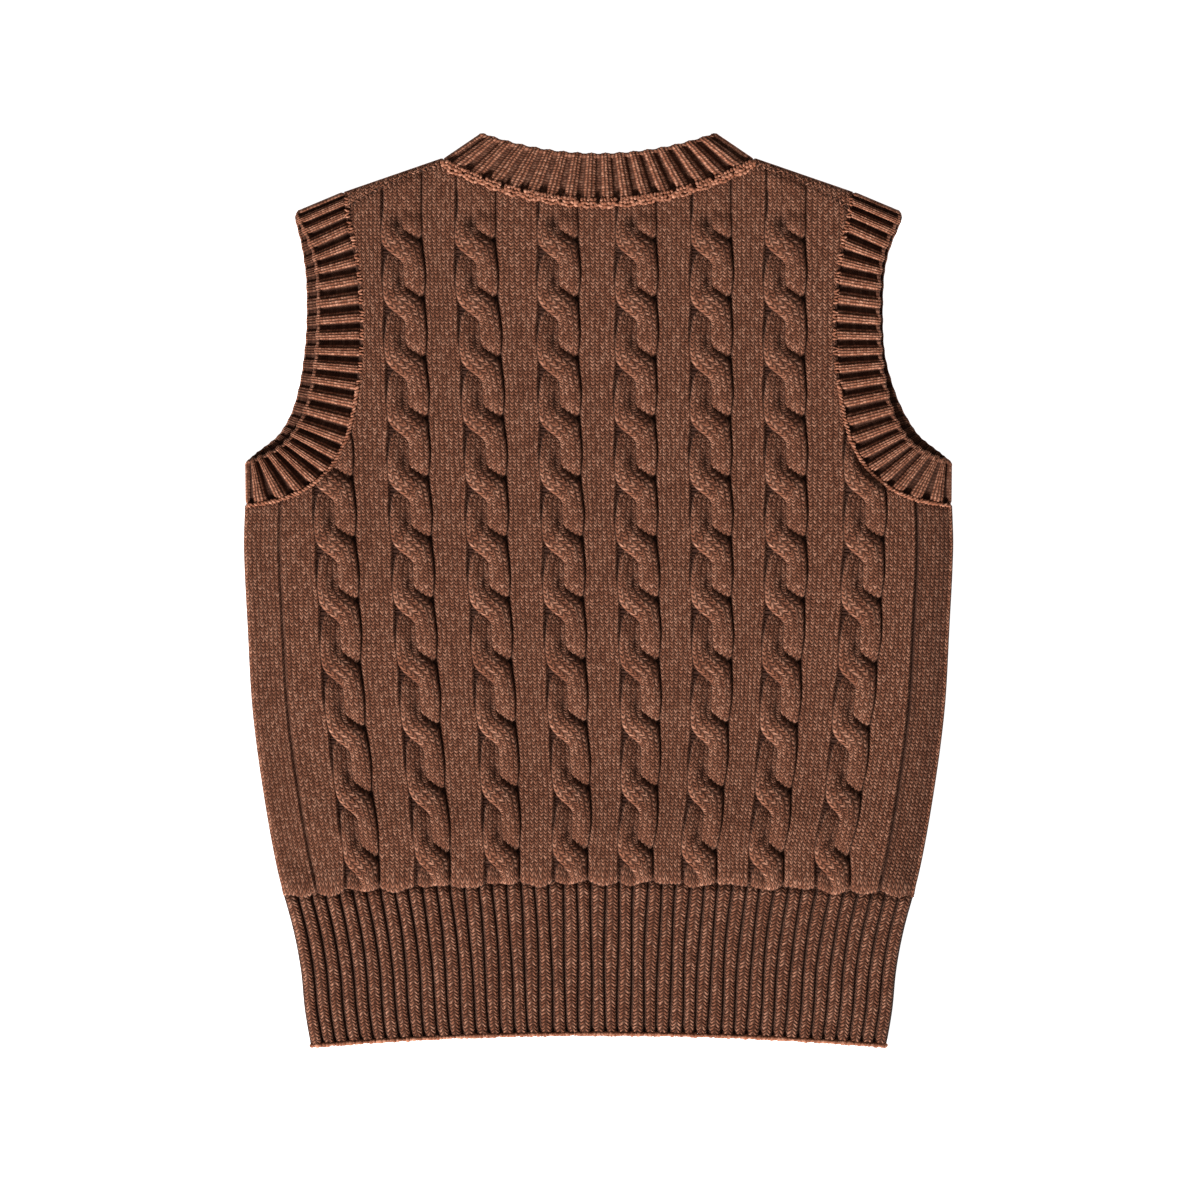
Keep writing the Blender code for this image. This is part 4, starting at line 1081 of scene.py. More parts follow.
def strand_ribbon(number, strand):
    """One strand of a cable: a ribbon of four wales with rounded free edges."""
    step = COURSE / ROWS
    foot = HEM_TOP_MIDDLE + SEAM_GAP / 2
    top = OUTER_CABLE_END if number in (1, CABLE_COUNT) else BACK_TOP
    level = foot + np.arange(int((top - foot) / step)) * step
    edges, sides, covers = strand_edges(number, strand, level)
    run = unit(np.gradient(edges[0] + edges[1], axis=0))
    places, dips = strand_columns()
    reach = np.abs(places)
    in_wales = (places + 1) / 2 * CABLE_WALES
    leg = np.abs(in_wales % 1 - 0.5) * 2

    flat = edges[0][:, None] + (edges[1] - edges[0])[:, None] * ((places + 1) / 2)[:, None]
    x, y = flat[..., 0], flat[..., 1]
    rows = np.arange(len(level))[:, None]
    distance, _ = to_border(x, y)
    slant = ease(rows / START_ROWS) * ease(distance / BORDER_REACH) * (1 - reach ** LEG_CURVE)
    rise = LEG_RISE * (leg - 0.5) * slant
    x, y = x + rise * run[:, :1], y + rise * run[:, 1:]
    distance, near = to_border(x, y)
    x, y, kept = cut_at_border(x, y, distance, near)

    heights = crest_heights(level[:, None] + rise + DIVE_TILT * places)
    own, other = heights[strand], heights[1 - strand]
    free_left = ease((SHARED_EDGE - sides[0]) / SHARED_FADE)[:, None]
    free_right = ease((SHARED_EDGE + sides[1]) / SHARED_FADE)[:, None]
    free = np.where(places < 0, free_left, free_right)
    cover = np.where(places < 0, covers[0], covers[1])
    side = np.clip((sides[0] + sides[1]) / 2, -1, 1)
    over = ((1 - side ** 2) ** CROSSING_CURVE)[:, None] * (own > other)
    upper = over * (places > 0)
    beside_low = ease((own - other) / LOW_REACH) * (places > 0)
    wide = np.maximum(upper, beside_low)
    crown = 1 - (1 - reach ** CROWN_CURVE) ** (1 / CROWN_CURVE)
    crown = crown + wide * (1 - np.sqrt(1 - reach ** 2) - crown)
    joint_drop = np.maximum(own - other, 0) + JOINT_DROP
    edge_drop = EDGE_DROP + OVER_DROP * upper
    height = own - (free * edge_drop + (1 - free) * joint_drop) * crown
    height = height + crests(rows) - np.where(dips, STRAND_DIP, 0.0)
    rolled = np.exp(-((places - ROLLED_PLACE) / ROLLED_REACH) ** 2)
    height = height + ROLLED_EDGE * over * rolled
    hollowed = hollow(number, strand, x, y, level[:, None])
    height = height - HOLLOW_DEPTH * hollowed
    raised = np.maximum(own, 0)
    puffed = puff(y - hem_top(x) - SEAM_GAP / 2)
    height = height - puffed * (PUFF_DROP + PUFF_SHARE * raised)
    height -= (SEAM_DIP + SEAM_SHARE * raised) * (1 - ease(distance / STRAND_SEAM_REACH))
    height = np.maximum(height, STRAND_FLOOR + STRAND_LEAST)
    plain = back_height(x, y)
    under = np.maximum(own - UNDERSIDE, STRAND_FLOOR) + 0 * x
    under = np.minimum(under, height - STRAND_WALL)
    points = np.stack([x, y - overhang(x, y), plain + height], -1)

    def from_place(at, start):
        return ease((at - start) / (1 - start))

    # Painted shade in the dips, at the edges, beside and below the other strand and in the
    # hollows, and a painted highlight on the rolled edge.
    painted_shades = np.where(dips, DIP_SHADE, 0.0)
    edge_shade = EDGE_SHADE * free * (1 - cover) * from_place(reach, EDGE_SHADE_START)
    painted_shades = painted_shades + edge_shade * (1 - over * (places < 0))
    painted_shades = painted_shades + (JOINT_SHADE * (1 - free) * (own < other)
                   * from_place(reach, JOINT_SHADE_START))
    shaded = np.maximum(upper, beside_low * (1 - free))
    painted_shades = painted_shades + OVER_SHADE * shaded * from_place(places, OVER_SHADE_START)
    painted_shades = painted_shades - ROLLED_GLOW * over * rolled + HOLLOW_SHADE * hollowed
    painted_shades = painted_shades + LOW_SHADE * np.clip((other - own) / LOW_SHADE_REACH, 0, 1)
    painted_shades = np.minimum(painted_shades + DEEP_SHADE * np.clip(-own, 0, 1), 1.0)
    stitch = np.stack(np.broadcast_arrays(in_wales + strand * STRAND_WALES,
                                          rows / ROWS + rise / COURSE), -1)
    ribbon = Piece(f"cable_{number}")
    ribbon.grid(points, painted_shades + 0 * x, stitch, STRAND_SHEET, kept)
    below = (plain + under).ravel()
    ribbon.close(lambda outer, loop: below[loop])
    return ribbon


def cable(number):
    piece = Piece(f"cable_{number}")
    for strand in (0, 1):
        piece.take(strand_ribbon(number, strand))
    return piece.build(BODY_KNIT)


# ---------------------------------------------------------------- the hem

# Across a ridge of the hem: the inner legs of its two wales take most of its width, and
# the outer ones turn down into the grooves.
Leg = namedtuple("Leg", "share place")
RIDGE_LEGS = (Leg(0.0, 0.2), Leg(0.12, 0.5), Leg(0.31, 0.75), Leg(0.5, 1.0), Leg(0.69, 1.25),
              Leg(0.88, 1.5), Leg(1.0, 1.8))
HEM_ROWS = 88
RIDGE_SHARE = 0.80          # of a rib's pitch
HEM_RIDGE = 0.55
HEM_GROOVE = 1.5
HEM_TOP_DIP = 1.45          # how far the hem goes down under the body's lower edge
HEM_SWAY = 0.3              # its ribs sway to the sides by this

HEM_SWAY_HEIGHT = 11.0
HEM_LOW_RELIEF = 0.35       # share of its relief that the hem has at its top
HEM_RELIEF_REACH = 3.0
HEM_DIP_REACH = 4.5
HEM_SHADE = 0.5             # it is painted with shade from the body's lower edge, below its top
HEM_SHADE_DEPTH, HEM_SHADE_REACH = 1.0, 1.6
FOOT_DROP = 1.3             # how far its foot rounds down
FOOT_ROUND = 2.0
HEM_SHEET = (280.0, 72.0)
HEM_SPOTS = 12.0
HEM_MARGIN = 8.0
FRONT_GROOVE = 0.7          # depth of the front hem's grooves
FRONT_HEM_ROWS = 12
FRONT_HEM_INSET = 0.3       # its foot lies this far back under the back's
FRONT_HEM_ROUND = 2.4
FRONT_HEM_TURN = 0.95       # share of its wall that rounds up at its sides
FRONT_HEM_RISE = 0.35       # and height of its top and foot over the surface

# Across one rib: share of the pitch, height, place in the wales, side of the stitch, painted
# shade.
RibLine = namedtuple("RibLine", "share height place side gap")
RIB_WALES = 4               # two in its ridge and two in its groove
RIDGE_CURVE = 2.3
RIDGE_SIDE = 0.35           # a ridge's sides lie at this share of the groove's depth
FLANK = 0.62                # a groove's flank, on the way from its middle to a ridge's side
FLANK_DEPTH = 0.85
# Painted shade in a groove's middle, on its flanks, at a ridge's sides and in its dip.
RIB_GAP, FLANK_GAP, RIDGE_SIDE_GAP, RIDGE_DIP_GAP = 0.85, 0.8, 0.55, 0.3
STITCHED_GAP = 0.7          # lines deeper in a gap than this have no relief of stitches


def rib_profile(ridge, groove, legs):
    """The lines across one rib, from the middle of the groove at its left."""
    start = (1 - RIDGE_SHARE) / 2
    lines = [RibLine(0.0, -groove, -0.5, 0.5, RIB_GAP)]
    lines.append(RibLine(start * FLANK, -groove * FLANK_DEPTH, -0.2, 0.5, FLANK_GAP))
    for share, place in legs:
        arch = 1 - abs(share * 2 - 1) ** RIDGE_CURVE
        leg = abs(place % 1 - 0.5) * 2
        dip = WALE_DIP if share == 0.5 else 0.0
        height = ridge * arch - (1 - arch) * groove * RIDGE_SIDE - dip
        gap = {0.0: RIDGE_SIDE_GAP, 0.5: RIDGE_DIP_GAP, 1.0: RIDGE_SIDE_GAP}.get(share, 0.0)
        lines.append(RibLine(start + RIDGE_SHARE * share, height, place, leg, gap))
    lines.append(RibLine(1 - start * FLANK, -groove * FLANK_DEPTH, 2.2, 0.5, FLANK_GAP))
    return lines


def hem_columns(ridge, groove, legs, last_place):
    """The lines of a hem from its left side to its right, as an array for each value."""
    profile = rib_profile(ridge, groove, legs)
    lines = [RibLine((rib + line.share) / HEM_RIBS * 2 - 1, line.height,
                     rib * RIB_WALES + line.place, line.side, line.gap)
             for rib in range(HEM_RIBS) for line in profile]
    lines.append(RibLine(1.0, -groove, last_place, 0.5, 1.0))
    return RibLine(*(np.array(values) for values in zip(*lines)))


def hem_back_knit():
    """The back's hem: upright ribs of two wales."""
    across, height, place, side, gap = hem_columns(HEM_RIDGE, HEM_GROOVE, RIDGE_LEGS,
                                                   HEM_RIBS * RIB_WALES - 0.5)
    rows = np.arange(HEM_ROWS + 1)[:, None]
    top = hem_top(HEM_TOP_HALF * across) - SEAM_GAP / 2
    foot = hem_foot(HEM_FOOT_HALF * across)
    slant = ease(rows / START_ROWS) * ease((HEM_ROWS - rows) / START_ROWS)
    rise = HEM_LEG_RISE * (side - 0.5) * slant
    y = foot + (top - foot) * (rows / HEM_ROWS) + rise
    sway = np.sin(y / HEM_SWAY_HEIGHT + across * HEM_RIBS) * (1 - across ** 2)
    x = half_width(y) * across + HEM_SWAY * sway
    low = HEM_LOW_RELIEF + (1 - HEM_LOW_RELIEF) * ease((top - y) / HEM_RELIEF_REACH)
    relief = height * low + crests(rows) * (gap < STITCHED_GAP)
    drop = FOOT_DROP * (1 - rounding(y - foot, FOOT_ROUND))
    drop = drop + HEM_TOP_DIP * (1 - ease((top - y) / HEM_DIP_REACH))
    z = round_sides(x, y, back_inside(x, y) + BACK_WALL + (relief - drop))
    stitch = np.stack(np.broadcast_arrays(place, rows / ROWS + rise / COURSE), -1)
    shade = HEM_SHADE * (1 - ease((top - y - HEM_SHADE_DEPTH) / HEM_SHADE_REACH))
    piece = Piece("hem_back_knit")
    piece.grid(np.stack([x, y, z], -1), np.maximum(gap, shade), stitch, HEM_SHEET)

    def keep(x, y):
        between = (y > hem_foot(x) + HEM_MARGIN) & (y < hem_top(x) - HEM_MARGIN)
        return between & (np.abs(x) < half_width(y) - HEM_MARGIN)

    piece.close(inner_side, lattice(HEM_SPOTS, keep))
    return piece.build(HEM_KNIT, ("hem_rib_back",))


def hem_front_knit():
    """The front's hem, flat on the surface, with ribs that show at its foot."""
    columns = hem_columns(0.0, FRONT_GROOVE, RIDGE_LEGS[::3], HEM_RIBS * RIB_WALES)
    height = np.maximum(-columns.height, 0.0)
    share = np.linspace(0, 1, FRONT_HEM_ROWS + 1)[:, None]
    top = hem_top(HEM_TOP_HALF * columns.share) - SEAM_GAP / 2
    foot = hem_foot(HEM_FOOT_HALF * columns.share) + FRONT_HEM_INSET
    y = foot + (top - foot) * share
    x = half_width(y) * columns.share
    turn = rounding(half_width(y) - np.abs(x), FRONT_HEM_ROUND)
    below = height + (1 - turn) * (FRONT_WALL - height) * FRONT_HEM_TURN
    below[[0, -1]] = np.maximum(below[[0, -1]], FRONT_HEM_RISE)
    stitch = np.stack(np.broadcast_arrays(columns.place, (top - y) / COURSE), -1)
    painted_shades = np.broadcast_to(columns.gap, x.shape)
    piece = Piece("hem_front_knit")
    piece.grid(np.stack([x, y, below], -1)[:, ::-1], painted_shades[:, ::-1], stitch[:, ::-1], HEM_SHEET)
    piece.close(lambda points, _: np.full(len(points), FRONT_WALL), upwards=True)
    return piece.build(HEM_KNIT, ("hem_rib_front",))


# ---------------------------------------------------------------- the bands

BAND_RIDGE = 1.1
BAND_GROOVE = 1.75
BAND_FLANK = 0.5            # how far down a groove the sides of a ridge begin
Rib = namedtuple("Rib", "count ridge_share cords depth shade")
ARM_RIB = Rib(ARM_RIBS, 0.69, 4, 1.0, 0.93)
NECK_RIB = Rib(NECK_RIBS, 0.72, 3, 0.85, 0.72)
CORD_DIP = 0.45             # a band's ridge is made of fine cords, with dips between them
BASE_SHADE = 0.1            # its grooves' painted shade is stronger by this share near the base
BAND_ROWS = np.array((0, 0.02, 0.05, 0.09, *np.linspace(0.14, 0.86, 13), 0.90, 0.925, 0.945,
                      0.965, 0.985, 1))         # shares of the way from base to tip
INNER_ROWS = np.array((1, 0.96, 0.9, 0.75, 0.5, 0.25, 0))
RIM = 1.2                   # width of the smooth rim along a band's tip
RIM_HEIGHT = 0.35
TIP_WAVE = 0.45             # how far the tip stands out at each ridge
FOLD_TIP = 1.5              # and how far it draws back at a fold
FOLD_TURNS = (0.12, 0.24, 0.38, 0.5, 0.62, 0.76, 0.88)
INNER_REACH = LAYER_GAP / 2
RIM_GLOW = 0.02             # below zero in the gap map: a painted highlight on the rim
RIM_SHADE = 0.55            # but this share of the grooves' shade goes on over it
INNER_SHADE = 0.7
INNER_DARKENS = 0.8         # its inner side is painted in shade from this far in
GROOVE_WAVE = 0.5           # its tip draws back at a groove by this share of its wave
RIM_FADE = 0.9              # the ribs run out into the rim over this
BASE_RELIEF = 0.25          # share of the relief at the base itself
BASE_FADE = 1.2
BASE_DROP = 0.7             # how far a band goes down into its seam
BASE_REACH = 1.5
BASE_SHADE_REACH = 4.0
TIP_ROUND = 1.0
UNDER_DROP = 0.25           # how far its underside rounds up at the tip
NEARLY_DOWN, RIGHT_DOWN = -0.9, -0.99   # the way that the underside's columns face
BAND_LEAST = 0.35           # a band is at least this thick
INNER_START = 0.3           # grooves of its inner side start this far in, and run out
INNER_FADE = 0.6            # over this
INNER_LIMIT = 1.5
LAST_ROW = 2.05             # the row that closes the ring, in widths of the band
BAND_SHEET = (400.0, 50.0)
BAND_FLANK_PLACE = 0.7      # a groove's flank, on the way from its middle to a ridge's side
BAND_FLANK_DEPTH = 0.9
BAND_CURVE = 2.1
SIDE_SHARE = 0.7            # share of the grooves' shade at a ridge's sides
CORD_SHADE = 0.6            # between its cords
FOLD_SINK = 0.4             # how much lower a band is on its fold
FOLD_SHADE = 0.2
FOLD_WALES = 0.25           # from column to column round a fold
ARM_UNDER_RELIEFS = (0.4, 0.5)          # shares of the ribs' relief on a band's front half,
NECK_UNDER_RELIEFS = (0.5, 0.0)         # on its outer side and on its inner side

# A column of a band: its base and tip, the way its outer side faces, how far that side
# stands from the middle between the layers, the rib relief of its outer and inner side,
# its place in the wales and the painted shade it gets in a gap.
Station = namedtuple("Station", "base tip facing reach relief inner place gap")


def band_profile(rib):
    """The lines across one rib of a band."""
    start = (1 - rib.ridge_share) / 2
    groove = BAND_GROOVE * rib.depth
    lines = [RibLine(0.0, -groove, -0.5, 0.5, rib.shade)]
    flank, depth = start * BAND_FLANK_PLACE, groove * BAND_FLANK_DEPTH
    lines.append(RibLine(flank, -depth, -0.2, 0.5, rib.shade))
    steps = rib.cords * 2
    for step in range(steps + 1):
        share = step / steps
        arch = 1 - abs(share * 2 - 1) ** BAND_CURVE
        between = step % 2 == 0
        gap = CORD_SHADE if between else 0.0
        if step in (0, steps):
            gap = SIDE_SHARE * rib.shade
        height = BAND_RIDGE * arch - (1 - arch) * groove * BAND_FLANK - CORD_DIP * between
        place = share * rib.cords
        lines.append(RibLine(start + rib.ridge_share * share, height, place, 0.5, gap))
    lines.append(RibLine(1 - flank, -depth, rib.cords + 0.2, 0.5, rib.shade))
    return lines


def rib_stations(rib, base_at, tip_at, facing, reach, first_place, outer, inner):
    """Stations over the ribs of one half of a band."""
    profile = band_profile(rib)
    stations = []
    for number in range(rib.count):
        for line in profile:
            share = (number + line.share) / rib.count
            stations.append(Station(base_at(share), tip_at(share), facing, reach,
                                    line.height * outer, line.height * inner,
                                    first_place + number * 4 + line.place, line.gap))
    last = profile[0]
    stations.append(Station(base_at(1.0), tip_at(1.0), facing, reach, last.height * outer,
                            last.height * inner, first_place + rib.count * 4 - 0.5, last.gap))
    return stations


def fold_stations(base, tip, outwards, downwards, under_reach, place):
    """Stations that take a band round its fold, from the top to the underside."""
    stations = []
    turns = FOLD_TURNS if downwards else FOLD_TURNS[::-1]
    for turn in turns:
        angle = turn * math.pi
        facing = UP * math.cos(angle) + outwards * math.sin(angle)
        reach = TOP_REACH - FOLD_SINK + (under_reach - TOP_REACH + FOLD_SINK) * turn
        stations.append(Station(base, tip, facing, reach, 0.0, 0.0, place, FOLD_SHADE))
        place += FOLD_WALES
    return stations


def band_piece(name, stations, nodes):
    """A closed ring of ribbed cloth through its stations."""
    columns = Station(*(np.array(values) for values in zip(*stations)))
    middle = np.full(len(stations), BAND_MIDDLE)
    base = np.column_stack([columns.base, middle])
    tip = np.column_stack([columns.tip, middle])
    facing, relief = columns.facing, columns.relief
    sideways = 1 - np.abs(facing[:, 2])
    width = np.linalg.norm(tip - base, axis=1)
    wave = np.where(relief > 0, relief / BAND_RIDGE, relief / BAND_GROOVE * GROOVE_WAVE)
    wave = wave * TIP_WAVE - FOLD_TIP * sideways
    tip = tip + (tip - base) / width[:, None] * wave[:, None]

    def standing(shares, stand):
        """Points at shares of the way from base to tip, moved out to where they stand."""
        return base + (tip - base) * shares[..., None] + facing * stand[..., None]

    share = BAND_ROWS[:, None]
    from_tip, from_base = width * (1 - share), width * share
    ribbed = ease((from_tip - RIM) / RIM_FADE)
    shaped = relief * ribbed + RIM_HEIGHT * (1 - ribbed)
    shaped = shaped * ease(from_base / BASE_FADE + BASE_RELIEF)
    corner = TIP_ROUND + FOLD_TIP * sideways
    drop = corner * (1 - rounding(from_tip, corner))
    drop = drop + BASE_DROP * (1 - ease(from_base / BASE_REACH))
    under_drop = UNDER_DROP * (1 - rounding(from_tip, TIP_ROUND))
    drop = np.where(facing[:, 2] < NEARLY_DOWN, under_drop, drop)
    surface = np.where(facing[:, 2] < RIGHT_DOWN, BAND_MIDDLE, np.inf)
    outer_stand = np.minimum(columns.reach + shaped - drop, surface)
    outer = standing(share, np.maximum(outer_stand, INNER_REACH + BAND_LEAST))

    inner_share = INNER_ROWS[:, None]
    inner_from_tip = width * (1 - inner_share)
    grooved = ease((inner_from_tip - INNER_START) / INNER_FADE)
    inner_stand = INNER_REACH + np.maximum(-columns.inner, 0.0) * grooved
    inside = standing(inner_share, np.minimum(inner_stand, INNER_LIMIT))
    points = np.concatenate([outer, inside, outer[:1]])
    points = np.concatenate([points, points[:, :1]], axis=1)
    courses = np.concatenate([BAND_ROWS, 2 - INNER_ROWS, [LAST_ROW]]) * width.mean() / COURSE
    place = np.append(columns.place, columns.place[-1] + 1)
    stitch = np.stack(np.broadcast_arrays(place, courses[:, None]), -1)

    # Painted shade in the grooves, stronger near the base, a painted highlight on the rim, and
    # painted shade on the inner side.
    near_base = 1 + BASE_SHADE * (1 - ease(from_base / BASE_SHADE_REACH)) * (relief < 0)
    shaded = np.minimum(columns.gap * near_base, 1.0)
    shaded = shaded * ribbed + (RIM_SHADE * shaded - RIM_GLOW) * (1 - ribbed)
    inner_shaded = np.maximum(columns.gap, INNER_SHADE) * ease(inner_from_tip / INNER_DARKENS)
    painted_shades = np.concatenate([shaded, inner_shaded, shaded[:1]])
    painted_shades = np.concatenate([painted_shades, painted_shades[:, :1]], axis=1)
    piece = Piece(name)
    piece.grid(points, painted_shades, stitch, BAND_SHEET)
    return piece.build(BAND_KNIT, nodes)


def outward_of(base, tip, away_from):
    """Level direction square to a fold, pointing away from a place on the garment."""
    run = np.subtract(tip, base)
    square = np.array((-run[1], run[0], 0.0)) / np.hypot(*run)
    if square[:2] @ np.subtract(base, away_from) < 0:
        square = -square
    return square


def v_point():
    return NECK_DIP + NECK_RISE - V_DEPTH


def neckband_knit():
    """The neckband: round the back of the neck, over the shoulders and down the front."""
    def base_at(share):
        across = share * 2 - 1
        return NECK_HALF * across, NECK_DIP + NECK_RISE * across ** 2

    def tip_at(share):
        across = share * 2 - 1
        return NECK_TIP_HALF * across, NECK_TIP_DIP + NECK_TIP_RISE * across ** 2

    half_angle = math.atan2(NECK_HALF, V_DEPTH)
    v_tip = (0.0, v_point() + BAND_WIDTH / math.sin(half_angle))
    v_base = (0.0, v_point())

    def between(start, end):
        return lambda share: tuple(np.add(start, np.subtract(end, start) * share))

    under = BAND_MIDDLE
    stations = rib_stations(NECK_RIB, base_at, tip_at, UP, TOP_REACH, 0, 1.0, 0.0)
    right_out = outward_of(base_at(1), tip_at(1), (0, 0))
    left_out = outward_of(base_at(0), tip_at(0), (0, 0))
    place = NECK_RIBS * 4
    stations += fold_stations(base_at(1), tip_at(1), right_out, True, under, place)
    stations += rib_stations(NECK_RIB, between(base_at(1), v_base), between(tip_at(1), v_tip),
                             DOWN, under, place + 2, *NECK_UNDER_RELIEFS)
    stations += rib_stations(NECK_RIB, between(v_base, base_at(0)), between(v_tip, tip_at(0)),
                             DOWN, under, place * 2 + 2, *NECK_UNDER_RELIEFS)[1:]
    stations += fold_stations(base_at(0), tip_at(0), left_out, False, under, place * 3 + 2)
    return band_piece("neckband_knit", stations, ("neckband",))


def armband_knit(name, side, node):
    """The band round one armhole; its front half shows beyond the back half's tip."""
    def base_at(share):
        return side * float(arm("base_x", share)), float(arm("base_y", share))

    def tip_at(share):
        return side * float(arm("tip_x", share)), float(arm("tip_y", share))

    def front_tip_at(share):
        base, tip = np.array(base_at(share)), np.array(tip_at(share))
        peek = float(arm("left_peek" if side < 0 else "right_peek", share))
        return tuple(tip + (tip - base) / np.linalg.norm(tip - base) * peek)

    underarm_out = np.array((side, 0.0, 0.0))
    shoulder_out = outward_of(base_at(0), tip_at(0), (0, 0))
    stations = rib_stations(ARM_RIB, base_at, tip_at, UP, TOP_REACH, 0, 1.0, 0.0)
    place = ARM_RIBS * 4
    stations += fold_stations(base_at(1), tip_at(1), underarm_out, True, BAND_MIDDLE, place)
    stations += rib_stations(ARM_RIB, lambda share: base_at(1 - share),
                             lambda share: front_tip_at(1 - share), DOWN, BAND_MIDDLE,
                             place + 2, *ARM_UNDER_RELIEFS)
    stations += fold_stations(base_at(0), tip_at(0), shoulder_out, False, BAND_MIDDLE,
                              place * 2 + 2)
    return band_piece(name, stations, (node,))


# ---------------------------------------------------------------- the front

# Rounding of the front's border, level by level from its underside to its upper side:
# distance in from the outline on the sides, share of the way from the fold to the seam on
# the shoulders, and the heights of both.
Edge = namedtuple("Edge", "level inset height share raised_height")
FRONT_EDGE = (
    Edge(0, 2.2, 0.0, 0.75, 0.0), Edge(1, 0.6, 0.7, 0.18, 0.8), Edge(2, 0.0, 2.0, 0.0, 2.3),
    Edge(3, 0.3, 2.2, 0.12, 3.9), Edge(4, 0.8, 2.2, 0.55, 4.7), Edge(5, 1.2, 2.2, 0.97, 4.8),
    Edge(6, 1.5, 2.2, 1.0, 4.0), Edge(7, 1.8, 2.2, 1.0, 2.2),
)
FRONT_LEVELS = 36
SEAM_ROUND, SEAM_STEEP = 0.3, 0.15      # rounding of its border at the seams, per level
SEAM_LEAN = 0.1             # and how far in it leans with each level
FRONT_STEPS = 60            # along each part of its outline
FRONT_HOLE_START = 0.06     # share of the armhole that the shoulder cuts off
SHOULDER_COLUMNS = 64
STRIP_SHARES = (0.015, 0.985)           # of the shoulder seam that the strip runs to
STRIP_LEVELS = (2.4, 5.6)   # between these the strip shows its stitches
STRIP_SLANT = 0.8
FRONT_SPOTS = 8.0           # between the points of the plain sides, and to their edges
FRONT_BETWEEN = Point(98.0, 160.0)      # they go up to here beside the V
V_MARGIN = 24.0             # and keep this far below it
FRONT_SHEET = (600.0, 12.0)

# The outline's points: x and y at the fold, where they go to, and whether they roll over.
Border = namedtuple("Border", "x y goal_x goal_y raised")
ARM_CORNER = Border(113.45, 171.0, 112.85, 171.85, False)
NECK_CORNER = Border(71.0, 191.3, 71.15, 190.95, False)


def front_outline():
    """The front's outline, counter-clockwise from the middle of its lower edge."""
    x = np.linspace(0, half_width(HEM_TOP_MIDDLE - HEM_TOP_DROP), FRONT_STEPS)
    foot = np.stack([x, hem_top(x) + SEAM_GAP / 2], -1)
    y = np.linspace(foot[-1, 1], arm("base_y", 1.0) - SEAM_GAP, FRONT_STEPS)[1:]
    side = np.stack([half_width(y), y], -1)
    share = np.linspace(1, FRONT_HOLE_START, 2 * FRONT_STEPS)[3:]
    hole = offset_line(arm_line("base", share), SEAM_GAP)
    along = np.linspace(1, 0, SHOULDER_COLUMNS)
    fold = np.array(FOLD_NECK) + (np.array(FOLD_ARM) - FOLD_NECK) * along[:, None]
    goal = shoulder_seam(np.clip(along, *STRIP_SHARES), SEAM_GAP / 2)
    v_length = math.hypot(NECK_HALF, V_DEPTH)
    start = (NECK_HALF + SEAM_GAP * V_DEPTH / v_length - V_START * NECK_HALF / v_length,
             NECK_DIP + NECK_RISE - SEAM_GAP * NECK_HALF / v_length
             - V_START * V_DEPTH / v_length)
    end = (0.0, v_point() - SEAM_GAP * v_length / NECK_HALF)
    v_side = np.linspace(start, end, FRONT_STEPS)

    def flat(line):
        return [Border(*spot, *spot, False) for spot in line]

    right = flat(foot) + flat(side) + flat(hole)
    right.append(ARM_CORNER)
    right += [Border(*spot, *place, True) for spot, place in zip(fold, goal)]
    right.append(NECK_CORNER)
    right += flat(v_side)
    left = [Border(-spot.x, spot.y, -spot.goal_x, spot.goal_y, spot.raised)
            for spot in right[1:-1][::-1]]
    return right + left


def front_knit():
    """The front: flat underneath, with strips that roll over the shoulders to the seam."""
    outline = np.array(front_outline(), float)
    here, goal, raised = outline[:, :2], outline[:, 2:4], outline[:, 4] > 0.5
    run = unit(np.roll(here, -1, axis=0) - np.roll(here, 1, axis=0))
    inwards = np.stack([-run[:, 1], run[:, 0]], -1)
    has_goal = (np.abs(goal - here).sum(axis=1) > 0)
    on_side = np.abs(here[:, 0]) > half_width(here[:, 1]) - 0.01
    levels = np.linspace(0, FRONT_EDGE[-1].level, FRONT_LEVELS)
    rings = []
    for level in levels:
        inset = float(read(FRONT_EDGE, "inset", level))
        seam_inset = max(SEAM_ROUND - SEAM_STEEP * level, 0.0) + SEAM_LEAN * level
        seam_inset = np.where(on_side, inset, seam_inset)
        flat = here + inwards * seam_inset[:, None]
        share = float(np.clip(read(FRONT_EDGE, "share", level), 0, 1))
        rolled = here + (goal - here) * share
        if level > FRONT_EDGE[-2].level:
            rolled[:, 1] -= SEAM_LEAN * (level - FRONT_EDGE[-2].level)
        spots = np.where(has_goal[:, None], rolled, flat)
        height = float(np.clip(read(FRONT_EDGE, "height", level), 0, FRONT_WALL))
        raised_height = float(max(read(FRONT_EDGE, "raised_height", level), 0.0))
        z = np.where(raised, raised_height, height)
        rings.append(np.column_stack([spots, z]))
    points = np.array(rings)
    strip_start, strip_end = STRIP_LEVELS
    on_strip = raised & (levels[:, None] > strip_start) & (levels[:, None] < strip_end)
    stitch = points[..., :2] / (WALE, COURSE)
    side = np.abs(stitch[..., 0] % 1 - 0.5) * 2
    slanted = np.cos(2 * np.pi * (stitch[..., 1] - side * STRIP_SLANT))
    points[..., 2] += np.where(on_strip, STITCH_DIP * slanted - WALE_DIP * side ** 3, 0.0)
    points, stitch = (np.concatenate([values, values[:, :1]], axis=1)
                      for values in (points, stitch))
    piece = Piece("front_knit")
    piece.grid(points, np.zeros(points.shape[:2]), stitch, FRONT_SHEET, ring=True)

    def keep(x, y):
        below_v = y < np.abs(x) / NECK_HALF * V_DEPTH + v_point() - V_MARGIN
        return inside_body(x, y, FRONT_SPOTS, FRONT_BETWEEN) & below_v

    spots = lattice(FRONT_SPOTS, keep)
    piece.fill(points[0, :-1], spots, lambda spots: 0 * spots[:, 0], upwards=False)
    piece.fill(points[-1, :-1], spots, lambda spots: 0 * spots[:, 0] + FRONT_WALL,
               upwards=True)
    return piece.build(BODY_KNIT, ("front_panel",))


# ---------------------------------------------------------------- the seams

